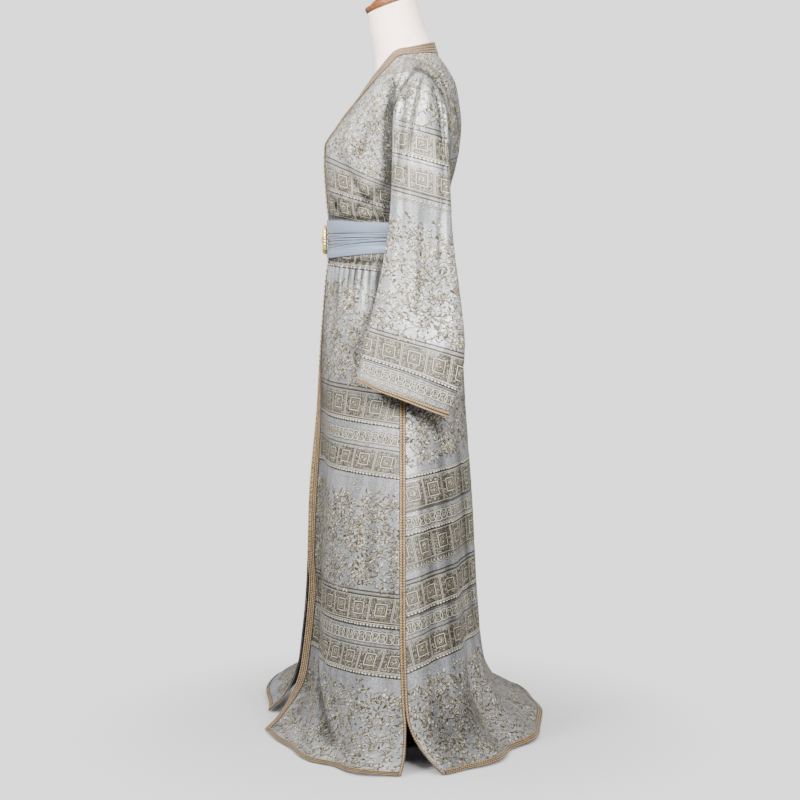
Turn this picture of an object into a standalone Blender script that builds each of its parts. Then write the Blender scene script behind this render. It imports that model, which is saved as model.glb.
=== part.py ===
"""A Moroccan kaftan with its belt, worn by a limbless dress form on a stand.

Metres, +Z up. The origin lies on the floor under the middle of the stand, the front of the
garment faces -Y, and the wearer's left side is +X. The cloth is a thin wall on one surface,
body_point(angle, height): angle runs round the body from the front centre towards the left
side, and height is the surface's height at the side seam.
"""
import math
from collections import namedtuple

import bpy
from mathutils import Vector

CLOTH = 0.0016            # wall of the brocade
BRAID = 0.0014            # thickness of the gold braids
GAP = 0.0003              # space between sewn pieces
LAYER = CLOTH / 2 + GAP + BRAID / 2      # panel's middle to a braid's middle
FRONT_BAND = 0.020        # width of the braid along the neck and the front edges
SIDE_CORD = 0.0065        # width of the cord on each edge of a side seam
CENTRE_GAP = 0.0006       # half the space between the two fronts where they meet
OPENING_POWER = 1.6       # how late the fronts' parting widens
SLIT_POWER = 1.5
OPENING_TOP = 0.385       # height where the fronts part
OPENING_HALF = {1: 0.046, -1: 0.100}     # front edge's X at the hem: left, right
SLIT_TOP = 0.110
SLIT_BACK_TURN = math.radians(12)        # how far the back panel draws away from the slit
SLIT_FRONT_TURN = math.radians(5)
CORD_TOP = 1.0            # the side cords start under the belt
QUARTER = math.pi / 2
STEP = 0.0005             # small step for slopes of the surface
BACK_RISE_POWER = 1.3     # how flat the nape's edge runs

# The garment's rings, top to bottom. The rises are the height of the front and back centre
# over the ring's height at its side.
Ring = namedtuple("Ring", "name height front_rise back_rise front_y side_y back_y half_width")
RINGS = (
    Ring("neck edge", 1.456, -0.046, 0.017, -0.044, 0.020, 0.081, 0.0635),
    Ring("neck braid", 1.440, -0.042, 0.007, -0.050, 0.024, 0.090, 0.084),
    Ring("mid shoulder", 1.424, -0.039, -0.003, -0.058, 0.034, 0.108, 0.125),
    Ring("shoulder tip", 1.402, -0.042, -0.015, -0.073, 0.048, 0.127, 0.174),
    Ring("upper chest", 1.350, -0.028, -0.010, -0.103, 0.050, 0.136, 0.176),
    Ring("chest", 1.3085, -0.018, -0.006, -0.125, 0.050, 0.140, 0.170),
    Ring("bust", 1.260, -0.008, -0.002, -0.147, 0.047, 0.137, 0.165),
    Ring("armpit", 1.215, 0.0, 0.0, -0.147, 0.044, 0.129, 0.162),
    Ring("midriff", 1.160, 0.0, 0.0, -0.144, 0.036, 0.115, 0.155),
    Ring("belt top", 1.100, 0.0, 0.0, -0.139, 0.030, 0.107, 0.148),
    Ring("waist", 1.060, 0.0, 0.0, -0.138, 0.027, 0.104, 0.146),
    Ring("belt bottom", 1.018, 0.0, 0.0, -0.139, 0.024, 0.108, 0.149),
    Ring("gathers", 0.970, 0.0, 0.0, -0.145, 0.020, 0.119, 0.160),
    Ring("high hip", 0.900, 0.0, 0.0, -0.151, 0.017, 0.135, 0.180),
    Ring("hip", 0.800, 0.0, 0.0, -0.159, 0.016, 0.145, 0.207),
    Ring("thigh", 0.700, 0.0, 0.0, -0.166, 0.016, 0.151, 0.231),
    Ring("knee", 0.500, 0.0, 0.0, -0.184, 0.016, 0.166, 0.277),
    Ring("calf", 0.300, 0.0, 0.0, -0.190, 0.016, 0.177, 0.318),
    Ring("slit", 0.145, 0.0, 0.0, -0.206, 0.020, 0.193, 0.347),
    Ring("flare", 0.075, 0.0, 0.0, -0.226, 0.028, 0.228, 0.363),
    Ring("spread", 0.030, 0.0, 0.0, -0.250, 0.036, 0.275, 0.377),
    Ring("hem", 0.0025, 0.0, 0.0, -0.278, 0.040, 0.318, 0.391),
)

# The neckline on a front, from the shoulder seam to where the fronts meet, with the armhole
# on the same rows: turn is 90 at the shoulder tip and -90 at the armpit.
NeckRow = namedtuple("NeckRow", "name angle height armhole_turn cells")
NECK_ROWS = (
    NeckRow("shoulder seam", 90.0, 1.456, 90.0, 4),
    NeckRow("neck side", 74.0, 1.4545, 67.5, 5),
    NeckRow("neck front", 50.0, 1.440, 45.0, 6),
    NeckRow("collar bone", 29.0, 1.424, 22.5, 7),
    NeckRow("upper chest", 17.4, 1.402, 0.0, 8),
    NeckRow("chest", 12.0, 1.367, -22.5, 8),
    NeckRow("over bust", 8.2, 1.330, -45.0, 8),
    NeckRow("bust", 4.6, 1.288, -67.5, 8),
    NeckRow("fronts meet", 0.2, 1.242, -90.0, 8),
)
SHOULDER_HEIGHTS = (1.456, 1.440, 1.432, 1.424, 1.413, 1.405, 1.402)
ARMHOLE_TOP = 1.402
ARMHOLE_BOTTOM = 1.215
ARMHOLE_FRONT = math.radians(17)         # how far the armhole cuts into the front
ARMHOLE_BACK = math.radians(36)

SHOULDER_CELLS = 12       # cells across the back over the shoulder seams
BACK_NECK_CELLS = 14      # cells across the back between the armholes

# Rows below the armhole, with the cells across a front; the back has twice as many.
Level = namedtuple("Level", "name height cells")
LEVELS = (
    Level("side top", 1.190, 8), Level("midriff", 1.150, 8), Level("belt top", 1.106, 8),
    Level("over waist", 1.083, 8), Level("waist", 1.060, 8), Level("under waist", 1.036, 8),
    Level("belt bottom", 1.014, 8), Level("gather 1", 1.002, 26), Level("gather 2", 0.980, 26),
    Level("gather 3", 0.955, 26), Level("gather 4", 0.925, 26), Level("high hip", 0.880, 8),
    Level("hip", 0.800, 8), Level("thigh", 0.700, 8), Level("knee", 0.590, 8),
    Level("under knee", 0.480, 8), Level("opening", 0.385, 8), Level("calf", 0.310, 9),
    Level("low calf", 0.245, 10), Level("ankle", 0.195, 11), Level("slit", 0.145, 12),
    Level("flare 1", 0.110, 12), Level("flare 2", 0.075, 12), Level("flare 3", 0.045, 12),
    Level("flare 4", 0.022, 12), Level("hem braid", 0.0095, 12), Level("hem", 0.0025, 12),
)

WAIST_LEVEL = [level.name for level in LEVELS].index("waist")

# Soft folds: angle round the body at the top and at the hem, the height where the fold
# starts and where it is full, how far it stands out (minus: in), its half width, its lift.
Fold = namedtuple("Fold", "name angle_top angle_hem start full depth width lift")
FOLDS = (
    Fold("left front corner forward", 4, 4, 0.12, 0.01, 0.011, 8, 0.0),
    Fold("left front drawn in", 31, 31, 0.14, 0.01, -0.021, 11, 0.0),
    Fold("left front inner", 26, 34, 0.55, 0.05, 0.004, 9, 0.0),
    Fold("left front trough", 20, 57, 0.32, 0.03, -0.013, 6.5, 0.0),
    Fold("left front wave", 66, 70, 0.34, 0.03, 0.014, 8, 0.004),
    Fold("left back trough", 112, 114, 0.80, 0.08, -0.009, 7, 0.0),
    Fold("left back wave", 128, 131, 0.84, 0.06, 0.011, 8, 0.004),
    Fold("left back valley", 143, 146, 0.70, 0.05, -0.010, 7, 0.0),
    Fold("left train drawn in", 138, 141, 0.13, 0.01, -0.024, 24, 0.0),
    Fold("left train wave", 158, 161, 0.40, 0.03, 0.010, 8, 0.005),
    Fold("right front edge forward", -5, -9, 0.42, 0.15, 0.005, 14, 0.0),
    Fold("right front spread", -50, -50, 0.150, 0.01, 0.135, 22, 0.018),
    Fold("right front wave", -24, -30, 0.30, 0.02, 0.010, 8, 0.006),
    Fold("right front trough", -52, -56, 0.50, 0.12, -0.008, 8, 0.0),
    Fold("right side wave", -70, -73, 0.40, 0.03, 0.011, 7, 0.004),
    Fold("right back trough", -112, -115, 0.78, 0.07, -0.009, 7, 0.0),
    Fold("right back wave", -130, -134, 0.82, 0.05, 0.011, 8, 0.004),
    Fold("right back valley", -146, -150, 0.66, 0.05, -0.009, 7, 0.0),
    Fold("right train spread", -141, -141, 0.090, 0.005, 0.056, 21, 0.0),
    Fold("right train wave", -164, -168, 0.38, 0.03, 0.006, 8, 0.004),
)
# The fronts meet in a ridge that stands forward; the cloth falls back from it on both sides.
RIDGE_DEPTH = 0.036
RIDGE_WIDTH = 6.0         # degrees over which the cloth falls back
RIDGE_REACH = 33          # degrees over which it comes out again
RIDGE_ROUND = 0.6
RIDGE_START = 0.88
RIDGE_FULL = 0.50
RIDGE_LOW = 0.020         # no ridge at the hem
EDGE_BACK = 0.007         # the left front's open edge stands back of the right one's
EDGE_BACK_DROP = 0.07     # and has done so this far under the last button
EDGE_BACK_WIDTH = 12
GATHERS = 13              # small pleats on each quarter of the garment, over and under the belt
GATHER_DEPTH = 0.0034
GATHERED_FRONT = (9, 87)  # degrees from the front that the pleats cover
GATHERED_BACK = (93, 180)

# The sleeve below its armhole: a flat tube with a front edge, a rear edge, and half its
# thickness as a step out (out_x, out_z).
Station = namedtuple("Station", "name x front_y front_z rear_y rear_z out_x out_z")
SLEEVE = (
    Station("head", 0.200, -0.003, 1.300, 0.107, 1.300, 0.026, 0.064),
    Station("upper arm", 0.209, -0.004, 1.235, 0.109, 1.235, 0.028, 0.040),
    Station("arm", 0.217, -0.006, 1.160, 0.112, 1.160, 0.029, 0.018),
    Station("elbow", 0.224, -0.015, 1.060, 0.118, 1.060, 0.029, 0.006),
    Station("forearm", 0.235, -0.039, 0.940, 0.133, 0.940, 0.028, 0.0),
    Station("corner", 0.247, -0.060, 0.860, 0.141, 0.852, 0.027, 0.0),
    Station("wrist", 0.252, -0.068, 0.822, 0.134, 0.785, 0.027, 0.0),
    Station("cuff", 0.259, -0.076, 0.780, 0.107, 0.705, 0.027, 0.0),
)
SLEEVE_CELLS = 16
CUFF_BRAID_START = 7.76   # station of the cuff braid's upper edge
SLEEVE_ROWS = (0, 0.5, 1, 1.5, 2, 2.5, 3, 3.5, 4, 5, 6, 7, CUFF_BRAID_START, 8)
SLEEVE_MIDDLE_Y = 0.045   # the folds stand out from a line here along the sleeve
FOLD_FLATNESS = 0.3       # how little of a fold's depth runs along Y
SleeveFold = namedtuple("SleeveFold", "name turn_top turn_end start end depth width")
SLEEVE_FOLDS = (
    SleeveFold("front crease", 60, 20, 0.3, 3.2, -0.007, 14),
    SleeveFold("head ridge", 90, 62, 0.2, 4.2, 0.005, 14),
    SleeveFold("back crease", 118, 150, 0.3, 3.0, -0.007, 14),
    SleeveFold("elbow dent", 105, 118, 3.0, 6.5, -0.006, 20),
    SleeveFold("cuff wave", 70, 60, 4.5, 9.0, 0.005, 20),
    SleeveFold("under dent", 270, 285, 3.5, 9.0, 0.006, 26),
)

BELT_TOP = 1.100
BELT_BOTTOM = 1.018
BELT_RISE = 0.015         # the lower edge rises towards the back
BELT_DROP = 0.004         # and the upper edge falls
BELT_LEVEL_TURN = math.radians(80)       # where both edges run level again
BELT_STEP_TURN = math.radians(14)        # the belt steps over the front braids up to here
BELT_WALL = 0.0016
BELT_EASE = 0.0006        # lets the belt clear the cloth between the cloth's own rows
# Across the belt from its top: two plain bands with four creases between them.
BeltLine = namedtuple("BeltLine", "share out")
BELT_PROFILE = (
    BeltLine(0.0, 0.0), BeltLine(0.18, 0.0008), BeltLine(0.34, -0.0002),
    BeltLine(0.415, 0.0012), BeltLine(0.49, -0.0002), BeltLine(0.55, 0.0012),
    BeltLine(0.61, -0.0002), BeltLine(0.665, 0.0012), BeltLine(0.72, -0.0002),
    BeltLine(0.86, 0.0008), BeltLine(1.0, 0.0),
)
BUCKLE_RADIUS = 0.0305
BUCKLE_HEIGHT = 1.0575
BUCKLE_DEPTH = 0.011

BODICE_KNOTS_TOP = 1.236  # under the point of the neckline
BELT_CLEAR = 0.004        # from the belt's edge to the nearest knot
KNOT_PITCH = 0.0107
KNOT_RADIUS = 0.0025
KNOT_WAIST = 0.0014

FORM_BOTTOM = 0.800
FORM_CELLS = 28
# How far the form lies inside the cloth, by height.
Inset = namedtuple("Inset", "height inset")
FORM_INSETS = (
    Inset(1.456, 0.0034), Inset(1.402, 0.0056), Inset(1.30, 0.0040), Inset(1.215, 0.0040),
    Inset(1.06, 0.0038), Inset(1.02, 0.0058), Inset(0.97, 0.0075), Inset(0.90, 0.0120),
    Inset(0.80, 0.0300),
)
FORM_LEVELS = (0.800, 0.812, 0.860, 0.925, 0.985, 1.022, 1.060, 1.110, 1.165, 1.215, 1.260,
               1.305, 1.355, 1.402, 1.413, 1.424, 1.432, 1.440, 1.456)
BREASTBONE_INSET = 0.009
NeckRing = namedtuple("NeckRing", "name y z radius tilt")
NECK_RINGS = (
    NeckRing("neck low", 0.0115, 1.4740, 0.0590, 26.5),
    NeckRing("neck middle", 0.0010, 1.5125, 0.0565, 22.5),
    NeckRing("neck top", -0.0055, 1.5500, 0.0540, 19.0),
)

POLE_RADIUS = 0.015
BASE_RADIUS = 0.165
BASE_HEIGHT = 0.022


def smooth_value(places, values, place):
    """The monotone cubic through a table's values; places run downwards."""
    count = len(places)
    place = max(min(place, places[0]), places[-1])
    index = next(i for i in range(count - 1) if place >= places[i + 1])

    def slope(i):
        before = (values[i] - values[i - 1]) / (places[i] - places[i - 1]) if i else None
        after = None
        if i < count - 1:
            after = (values[i + 1] - values[i]) / (places[i + 1] - places[i])
        if before is None:
            return after
        if after is None:
            return before
        return 0.0 if before * after <= 0 else 2 * before * after / (before + after)

    span = places[index + 1] - places[index]
    share = (place - places[index]) / span
    start, end = values[index], values[index + 1]
    lead, trail = slope(index) * span, slope(index + 1) * span
    return (start * (1 + 2 * share) * (1 - share) ** 2 + lead * share * (1 - share) ** 2
            + end * share ** 2 * (3 - 2 * share) + trail * share ** 2 * (share - 1))


RING_HEIGHTS = [ring.height for ring in RINGS]
RING_COLUMNS = {name: [getattr(ring, name) for ring in RINGS] for name in Ring._fields[2:]}


def ring_at(height):
    """The ring's sizes at any height of the garment."""
    sizes = {name: smooth_value(RING_HEIGHTS, column, height)
             for name, column in RING_COLUMNS.items()}
    return Ring("cut", height, **sizes)


def ease(share):
    """0 to 1 with level ends."""
    share = max(0.0, min(1.0, share))
    return share * share * (3 - 2 * share)


def gather_depth(angle, height):
    """Small pleats over and under the belt, fading away from it."""
    below = ease((BELT_BOTTOM - height) / 0.016) * ease((height - 0.88) / 0.11)
    above = 0.6 * ease((height - BELT_TOP) / 0.02) * ease((1.17 - height) / 0.05)
    turn = abs(math.degrees(angle)) % 360
    turn = min(turn, 360 - turn)
    start, end = GATHERED_FRONT if turn < 90 else GATHERED_BACK
    share = (turn - start) / (end - start)
    if not 0 < share < 1:
        return 0.0
    return GATHER_DEPTH / 2 * (below + above) * (1 - math.cos(2 * math.pi * GATHERS * share))


def ridge_depth(angle, height):
    """How far the cloth lies behind the ridge where the fronts meet."""
    turn = (math.degrees(angle) + 180) % 360 - 180
    if height >= RIDGE_START or abs(turn) > 90:
        return 0.0
    side = 1 if turn >= 0 else -1
    parted = max(0.0, (OPENING_TOP - height) / OPENING_TOP) ** OPENING_POWER
    edge = math.degrees(math.asin(OPENING_HALF[side] * parted / ring_at(height).half_width))
    away = math.hypot(abs(turn) - edge, RIDGE_ROUND) - RIDGE_ROUND
    grown = ease((RIDGE_START - height) / (RIDGE_START - RIDGE_FULL))
    grown *= ease((height - RIDGE_LOW) / 0.09)
    depth = RIDGE_DEPTH * grown * (1 - math.exp(-away / RIDGE_WIDTH)) \
        * math.exp(-(away / RIDGE_REACH) ** 2)
    if side > 0:
        opened = ease((OPENING_TOP - height) / EDGE_BACK_DROP)
        depth += EDGE_BACK * opened * math.exp(-(away / EDGE_BACK_WIDTH) ** 2)
    return depth


def fold_depths(angle, height):
    """How far the folds move a point out, and up."""
    out = gather_depth(angle, height) - ridge_depth(angle, height)
    lift = 0.0
    for fold in FOLDS:
        if height >= fold.start:
            continue
        grown = ease((fold.start - height) / (fold.start - fold.full))
        middle = fold.angle_top + (fold.angle_hem - fold.angle_top) * grown
        away = (math.degrees(angle) - middle + 180) % 360 - 180
        bump = grown * math.exp(-(away / fold.width) ** 2)
        out += fold.depth * bump
        lift += fold.lift * bump * ease((0.16 - height) / 0.16)
    return out, lift


def body_point(angle, height):
    """A point of the garment's middle surface."""
    ring = ring_at(height)
    side, facing = math.sin(angle), math.cos(angle)
    if facing >= 0:
        y = ring.side_y - (ring.side_y - ring.front_y) * facing
        rise = ring.front_rise * facing ** 2
    else:
        y = ring.side_y - (ring.back_y - ring.side_y) * facing
        rise = ring.back_rise * abs(facing) ** BACK_RISE_POWER
    out, lift = fold_depths(angle, height)
    return Vector(((ring.half_width + out) * side, y - out * facing, height + rise + lift))


def body_slopes(angle, height):
    """The surface's directions along a ring and up."""
    along = body_point(angle + STEP, height) - body_point(angle - STEP, height)
    upper = min(height + STEP, RINGS[0].height)
    lower = max(height - STEP, RINGS[-1].height)
    up = body_point(angle, upper) - body_point(angle, lower)
    return along / (2 * STEP), up.normalized()


def body_normal(angle, height):
    along, up = body_slopes(angle, height)
    return along.cross(up).normalized()


def turn_for(angle, height, distance):
    """The turn round the body that moves a point by a distance."""
    return distance / body_slopes(angle, height)[0].length


def armhole_place(turn):
    """Angle and height of the armhole's edge: turn 90 is the shoulder, -90 the armpit."""
    middle = (ARMHOLE_TOP + ARMHOLE_BOTTOM) / 2
    height = middle + (ARMHOLE_TOP - ARMHOLE_BOTTOM) / 2 * math.sin(turn)
    cut = ARMHOLE_FRONT if math.cos(turn) >= 0 else ARMHOLE_BACK
    return QUARTER - cut * math.cos(turn), height


def front_edge(side, height):
    """Angle of a front's centre edge below the neckline."""
    parted = max(0.0, (OPENING_TOP - height) / OPENING_TOP)
    distance = CENTRE_GAP + (OPENING_HALF[side] - CENTRE_GAP) * parted ** OPENING_POWER
    return math.asin(distance / ring_at(height).half_width)


def slit_turn(height, full):
    """How far a side edge stands back from the seam below the top of the slit."""
    return full * max(0.0, (SLIT_TOP - height) / SLIT_TOP) ** SLIT_POWER


def between(start, end, cells):
    """Evenly spaced places from start to end, both (angle, height)."""
    return [(start[0] + (end[0] - start[0]) * i / cells,
             start[1] + (end[1] - start[1]) * i / cells) for i in range(cells + 1)]


def front_rows(side):
    """Places of a front's points: front band, the panel's cells, side cord."""
    rows = []
    for row in NECK_ROWS:
        scye_angle, scye_height = armhole_place(math.radians(row.armhole_turn))
        scye_angle = min(scye_angle, QUARTER - turn_for(QUARTER, scye_height, GAP))
        if row.name == "shoulder seam":
            angle = QUARTER - turn_for(QUARTER, row.height, GAP)
            rows.append([(angle, height) for height in SHOULDER_HEIGHTS])
            continue
        inner = (math.radians(row.angle), row.height)
        across = body_point(scye_angle, scye_height) - body_point(*inner)
        share = FRONT_BAND / across.length
        banded = (inner[0] + (scye_angle - inner[0]) * share,
                  inner[1] + (scye_height - inner[1]) * share)
        share = SIDE_CORD / across.length
        corded = (scye_angle - (scye_angle - inner[0]) * share,
                  scye_height - (scye_height - inner[1]) * share)
        rows.append([inner] + between(banded, corded, row.cells) + [(scye_angle, scye_height)])
    for level in LEVELS:
        height = level.height
        inner = front_edge(side, height)
        outer = QUARTER - turn_for(QUARTER, height, GAP)
        outer -= slit_turn(height, SLIT_FRONT_TURN)
        banded = inner + turn_for(inner, height, FRONT_BAND)
        corded = outer - turn_for(outer, height, SIDE_CORD)
        middle = between((banded, height), (corded, height), level.cells)
        rows.append([(inner, height)] + middle + [(outer, height)])
    return [[(side * angle, height) for angle, height in row] for row in rows]


def back_rows():
    """Places of the back's points from the left seam to the right seam."""
    rows = []
    for height in SHOULDER_HEIGHTS[:-1]:
        seam = QUARTER + turn_for(QUARTER, height, GAP)
        corded = seam + turn_for(seam, height, SIDE_CORD)
        middle = between((corded, height), (2 * math.pi - corded, height), SHOULDER_CELLS)
        rows.append([(seam, height)] + middle + [(2 * math.pi - seam, height)])
    for row in NECK_ROWS:
        turn = math.pi - math.radians(row.armhole_turn)
        seam, height = armhole_place(turn)
        seam = max(seam, QUARTER + turn_for(QUARTER, height, GAP))
        corded = seam + turn_for(seam, height, SIDE_CORD)
        middle = between((corded, height), (2 * math.pi - corded, height), BACK_NECK_CELLS)
        rows.append([(seam, height)] + middle + [(2 * math.pi - seam, height)])
    for level in LEVELS:
        height = level.height
        seam = QUARTER + turn_for(QUARTER, height, GAP)
        seam += slit_turn(height, SLIT_BACK_TURN)
        corded = seam + turn_for(seam, height, SIDE_CORD)
        middle = between((corded, height), (2 * math.pi - corded, height), 2 * level.cells)
        rows.append([(seam, height)] + middle + [(2 * math.pi - seam, height)])
    return rows


def zip_rows(upper, lower):
    """Triangles between two rows of points that may differ in number."""
    faces = [(upper[0], lower[0], lower[1]), (upper[0], lower[1], upper[1])]
    a, b = 1, 1
    last_a, last_b = len(upper) - 2, len(lower) - 2
    while a < last_a or b < last_b:
        share_a = a / max(1, last_a - 1) if a < last_a else 2.0
        share_b = b / max(1, last_b - 1) if b < last_b else 2.0
        if share_b <= share_a + 1e-9:
            faces.append((upper[a], lower[b], lower[b + 1]))
            b += 1
        else:
            faces.append((upper[a], lower[b], upper[a + 1]))
            a += 1
    faces.append((upper[a], lower[b], lower[b + 1]))
    faces.append((upper[a], lower[b + 1], upper[a + 1]))
    return faces


def material(name, colour, roughness, metallic=0.0):
    finish = bpy.data.materials.new(name)
    finish.use_nodes = True
    shader = finish.node_tree.nodes["Principled BSDF"]
    shader.inputs["Base Color"].default_value = (*colour, 1.0)
    shader.inputs["Roughness"].default_value = roughness
    shader.inputs["Metallic"].default_value = metallic
    return finish


def add_object(name, mesh, finish):
    """Put a mesh in the kaftan's collection, shaded smooth, with its material."""
    made = bpy.data.objects.new(name, mesh)
    PARTS.objects.link(made)
    mesh.materials.append(finish)
    mesh.shade_smooth()
    return made


def add_wall(name, points, faces, thickness, finish):
    """An open surface made into a wall, half its thickness to each side."""
    mesh = bpy.data.meshes.new(name)
    mesh.from_pydata([tuple(point) for point in points], [], faces)
    mesh.validate()
    made = add_object(name, mesh, finish)
    wall = made.modifiers.new("wall", "SOLIDIFY")
    wall.thickness = thickness
    wall.offset = 0.0
    return made


def add_panel(name, rows, side, finish):
    """A cloth panel through rows of places."""
    points, faces, numbers = [], [], []
    for row in rows:
        numbers.append(list(range(len(points), len(points) + len(row))))
        points += [body_point(*place) for place in row]
    for upper, lower in zip(numbers, numbers[1:]):
        faces += zip_rows(upper, lower)
    if side < 0:
        faces = [face[::-1] for face in faces]
    return add_wall(name, points, faces, CLOTH, finish)


def add_strip(name, rows, side, finish):
    """A braid over some of a panel's cells: rows are the places of its points."""
    across = len(rows[0])
    points = []
    for row in rows:
        base = [body_point(*place) for place in row]
        normals = [body_normal(*place) for place in row]
        if across == 2 and row[0][1] < RIDGE_START:
            # both edges rise along the normal of the cloth's flat cell between them
            flat = (base[1] - base[0]).cross(body_slopes(*row[0])[1]).normalized()
            normals = [flat if flat.dot(normals[0]) > 0 else -flat] * 2
        points += [point + LAYER * normal for point, normal in zip(base, normals)]
    faces = []
    for row in range(len(rows) - 1):
        for i in range(across - 1):
            upper = row * across + i
            lower = upper + across
            faces += [(upper, lower, lower + 1), (upper, lower + 1, upper + 1)]
    if side < 0:
        faces = [face[::-1] for face in faces]
    return add_wall(name, points, faces, BRAID, finish)


def nudge(place, other, distance):
    """A place moved towards another by a distance."""
    length = (body_point(*other) - body_point(*place)).length
    share = distance / length
    return (place[0] + (other[0] - place[0]) * share, place[1] + (other[1] - place[1]) * share)


def make_panels():
    """The two fronts and the back, with the braids that lie on them."""
    silk = material("silver_brocade", (0.40, 0.43, 0.44), 0.42)
    gold = material("gold_braid", (0.50, 0.39, 0.24), 0.55)
    for word, side in (("left", 1), ("right", -1)):
        rows = front_rows(side)
        add_panel(word + "_front", rows, side, silk)
        low = [row for row in rows if row[0][1] <= CORD_TOP]
        add_strip(word + "_front_braid", [row[:2] for row in rows], side, gold)
        add_strip(word + "_front_side_cord", [row[-2:] for row in low], side, gold)
        add_hem(word + "_front_hem_braid", rows, side, gold)
    rows = back_rows()
    add_panel("back", rows, 1, silk)
    low = [row for row in rows if row[0][1] <= CORD_TOP]
    add_strip("back_neck_braid", rows[:2], 1, gold)
    add_strip("left_back_side_cord", [row[:2] for row in low], 1, gold)
    add_strip("right_back_side_cord", [row[-2:] for row in low], 1, gold)
    add_hem("back_hem_braid", rows, 1, gold)


def add_hem(name, rows, side, finish):
    """The braid along a hem, between the braids of the two upright edges."""
    upper, lower = list(rows[-2][1:-1]), list(rows[-1][1:-1])
    for row in (upper, lower):
        row[0] = nudge(row[0], row[1], 2 * GAP)
        row[-1] = nudge(row[-1], row[-2], 2 * GAP)
    return add_strip(name, [upper, lower], side, finish)


def sleeve_spine(turn):
    """The sleeve's points at one turn, from its armhole to its cuff."""
    place = armhole_place(turn)
    points = [body_point(*place) + (CLOTH + GAP) * body_normal(*place)]
    for station in SLEEVE:
        front = Vector((station.x, station.front_y, station.front_z))
        rear = Vector((station.x, station.rear_y, station.rear_z))
        out = Vector((station.out_x, 0, station.out_z))
        points.append((front + rear) / 2 + (front - rear) / 2 * math.cos(turn)
                      + out * math.sin(turn))
    return points


def sleeve_point(turn, station):
    """A point of the left sleeve; whole stations are the table's, 0 is the armhole."""
    spine = sleeve_spine(turn)
    index = min(int(station), len(spine) - 2)
    share = station - index
    before = spine[max(index - 1, 0)]
    start, end = spine[index], spine[index + 1]
    after = spine[min(index + 2, len(spine) - 1)]
    lead, trail = (end - before) / 2, (after - start) / 2
    point = (start * (1 + 2 * share) * (1 - share) ** 2 + lead * share * (1 - share) ** 2
             + end * share ** 2 * (3 - 2 * share) + trail * share ** 2 * (share - 1))
    axis_x = smooth_value([-i for i in range(len(SLEEVE) + 1)],
                          [SLEEVE[0].x] + [row.x for row in SLEEVE], -station)
    flattened = FOLD_FLATNESS * (point.y - SLEEVE_MIDDLE_Y)
    outwards = Vector((point.x - axis_x, flattened, 0)).normalized()
    for fold in SLEEVE_FOLDS:
        if not fold.start < station < fold.end:
            continue
        share = (station - fold.start) / (fold.end - fold.start)
        middle = fold.turn_top + (fold.turn_end - fold.turn_top) * share
        away = (math.degrees(turn) - middle + 180) % 360 - 180
        shown = min(1.0, 4 * share, 3 * (1 - share) if fold.end <= len(SLEEVE) else 1.0)
        point += outwards * fold.depth * ease(shown) * math.exp(-(away / fold.width) ** 2)
    return point


def add_tube(name, stations, lift, thickness, side, finish):
    """A ring of the sleeve's cloth between stations, lifted off its surface."""
    turns = [2 * math.pi * i / SLEEVE_CELLS for i in range(SLEEVE_CELLS)]
    points, faces = [], []
    for station in stations:
        for turn in turns:
            point = sleeve_point(turn, station)
            if lift:
                around = sleeve_point(turn + 0.01, station) - sleeve_point(turn - 0.01, station)
                down = sleeve_point(turn, min(station + 0.02, len(SLEEVE))) \
                    - sleeve_point(turn, station - 0.02)
                point = point + lift * down.cross(around).normalized()
            points.append(Vector((side * point.x, point.y, point.z)))
    for row in range(len(stations) - 1):
        for i in range(SLEEVE_CELLS):
            a, b = row * SLEEVE_CELLS + i, row * SLEEVE_CELLS + (i + 1) % SLEEVE_CELLS
            c, d = b + SLEEVE_CELLS, a + SLEEVE_CELLS
            faces += [(a, d, c), (a, c, b)]
    if side < 0:
        faces = [face[::-1] for face in faces]
    return add_wall(name, points, faces, thickness, finish)


def make_sleeves():
    silk = material("silver_sleeve", (0.40, 0.43, 0.44), 0.42)
    gold = material("cuff_gold", (0.50, 0.39, 0.24), 0.55)
    for word, side in (("left", 1), ("right", -1)):
        add_tube(word + "_sleeve", SLEEVE_ROWS, 0.0, CLOTH, side, silk)
        add_tube(word + "_cuff_braid", SLEEVE_ROWS[-2:], LAYER, BRAID, side, gold)


def belt_angles():
    """The panels' own angles at the waist, once round."""
    front = [place[0] for place in front_rows(1)[len(NECK_ROWS) + WAIST_LEVEL]]
    above = len(SHOULDER_HEIGHTS) - 1 + len(NECK_ROWS)
    back = [place[0] for place in back_rows()[above + WAIST_LEVEL]]
    angles = front[:-1] + back[:-1]
    angles += [2 * math.pi - angle for angle in front[::-1]]
    return angles


def belt_point(angle, share, out):
    """A point of the belt; it steps over the two front braids."""
    turn = min(angle, 2 * math.pi - angle)
    bottom = BELT_BOTTOM + BELT_RISE * ease(turn / BELT_LEVEL_TURN)
    top = BELT_TOP - BELT_DROP * ease(turn / BELT_LEVEL_TURN)
    height = top + (bottom - top) * share
    over_braid = BRAID + GAP if turn < BELT_STEP_TURN else 0.0
    lift = CLOTH / 2 + GAP + BELT_WALL / 2 + BELT_EASE + over_braid + out
    return body_point(angle, height) + lift * body_normal(angle, height)


def make_belt():
    satin = material("belt_satin", (0.52, 0.58, 0.64), 0.35)
    angles = belt_angles()
    points = [belt_point(angle, line.share, line.out) for line in BELT_PROFILE
              for angle in angles]
    count = len(angles)
    faces = []
    for row in range(len(BELT_PROFILE) - 1):
        for i in range(count):
            a, b = row * count + i, row * count + (i + 1) % count
            faces.append((a, a + count, b + count, b))
    add_wall("belt", points, faces, BELT_WALL, satin)


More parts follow.
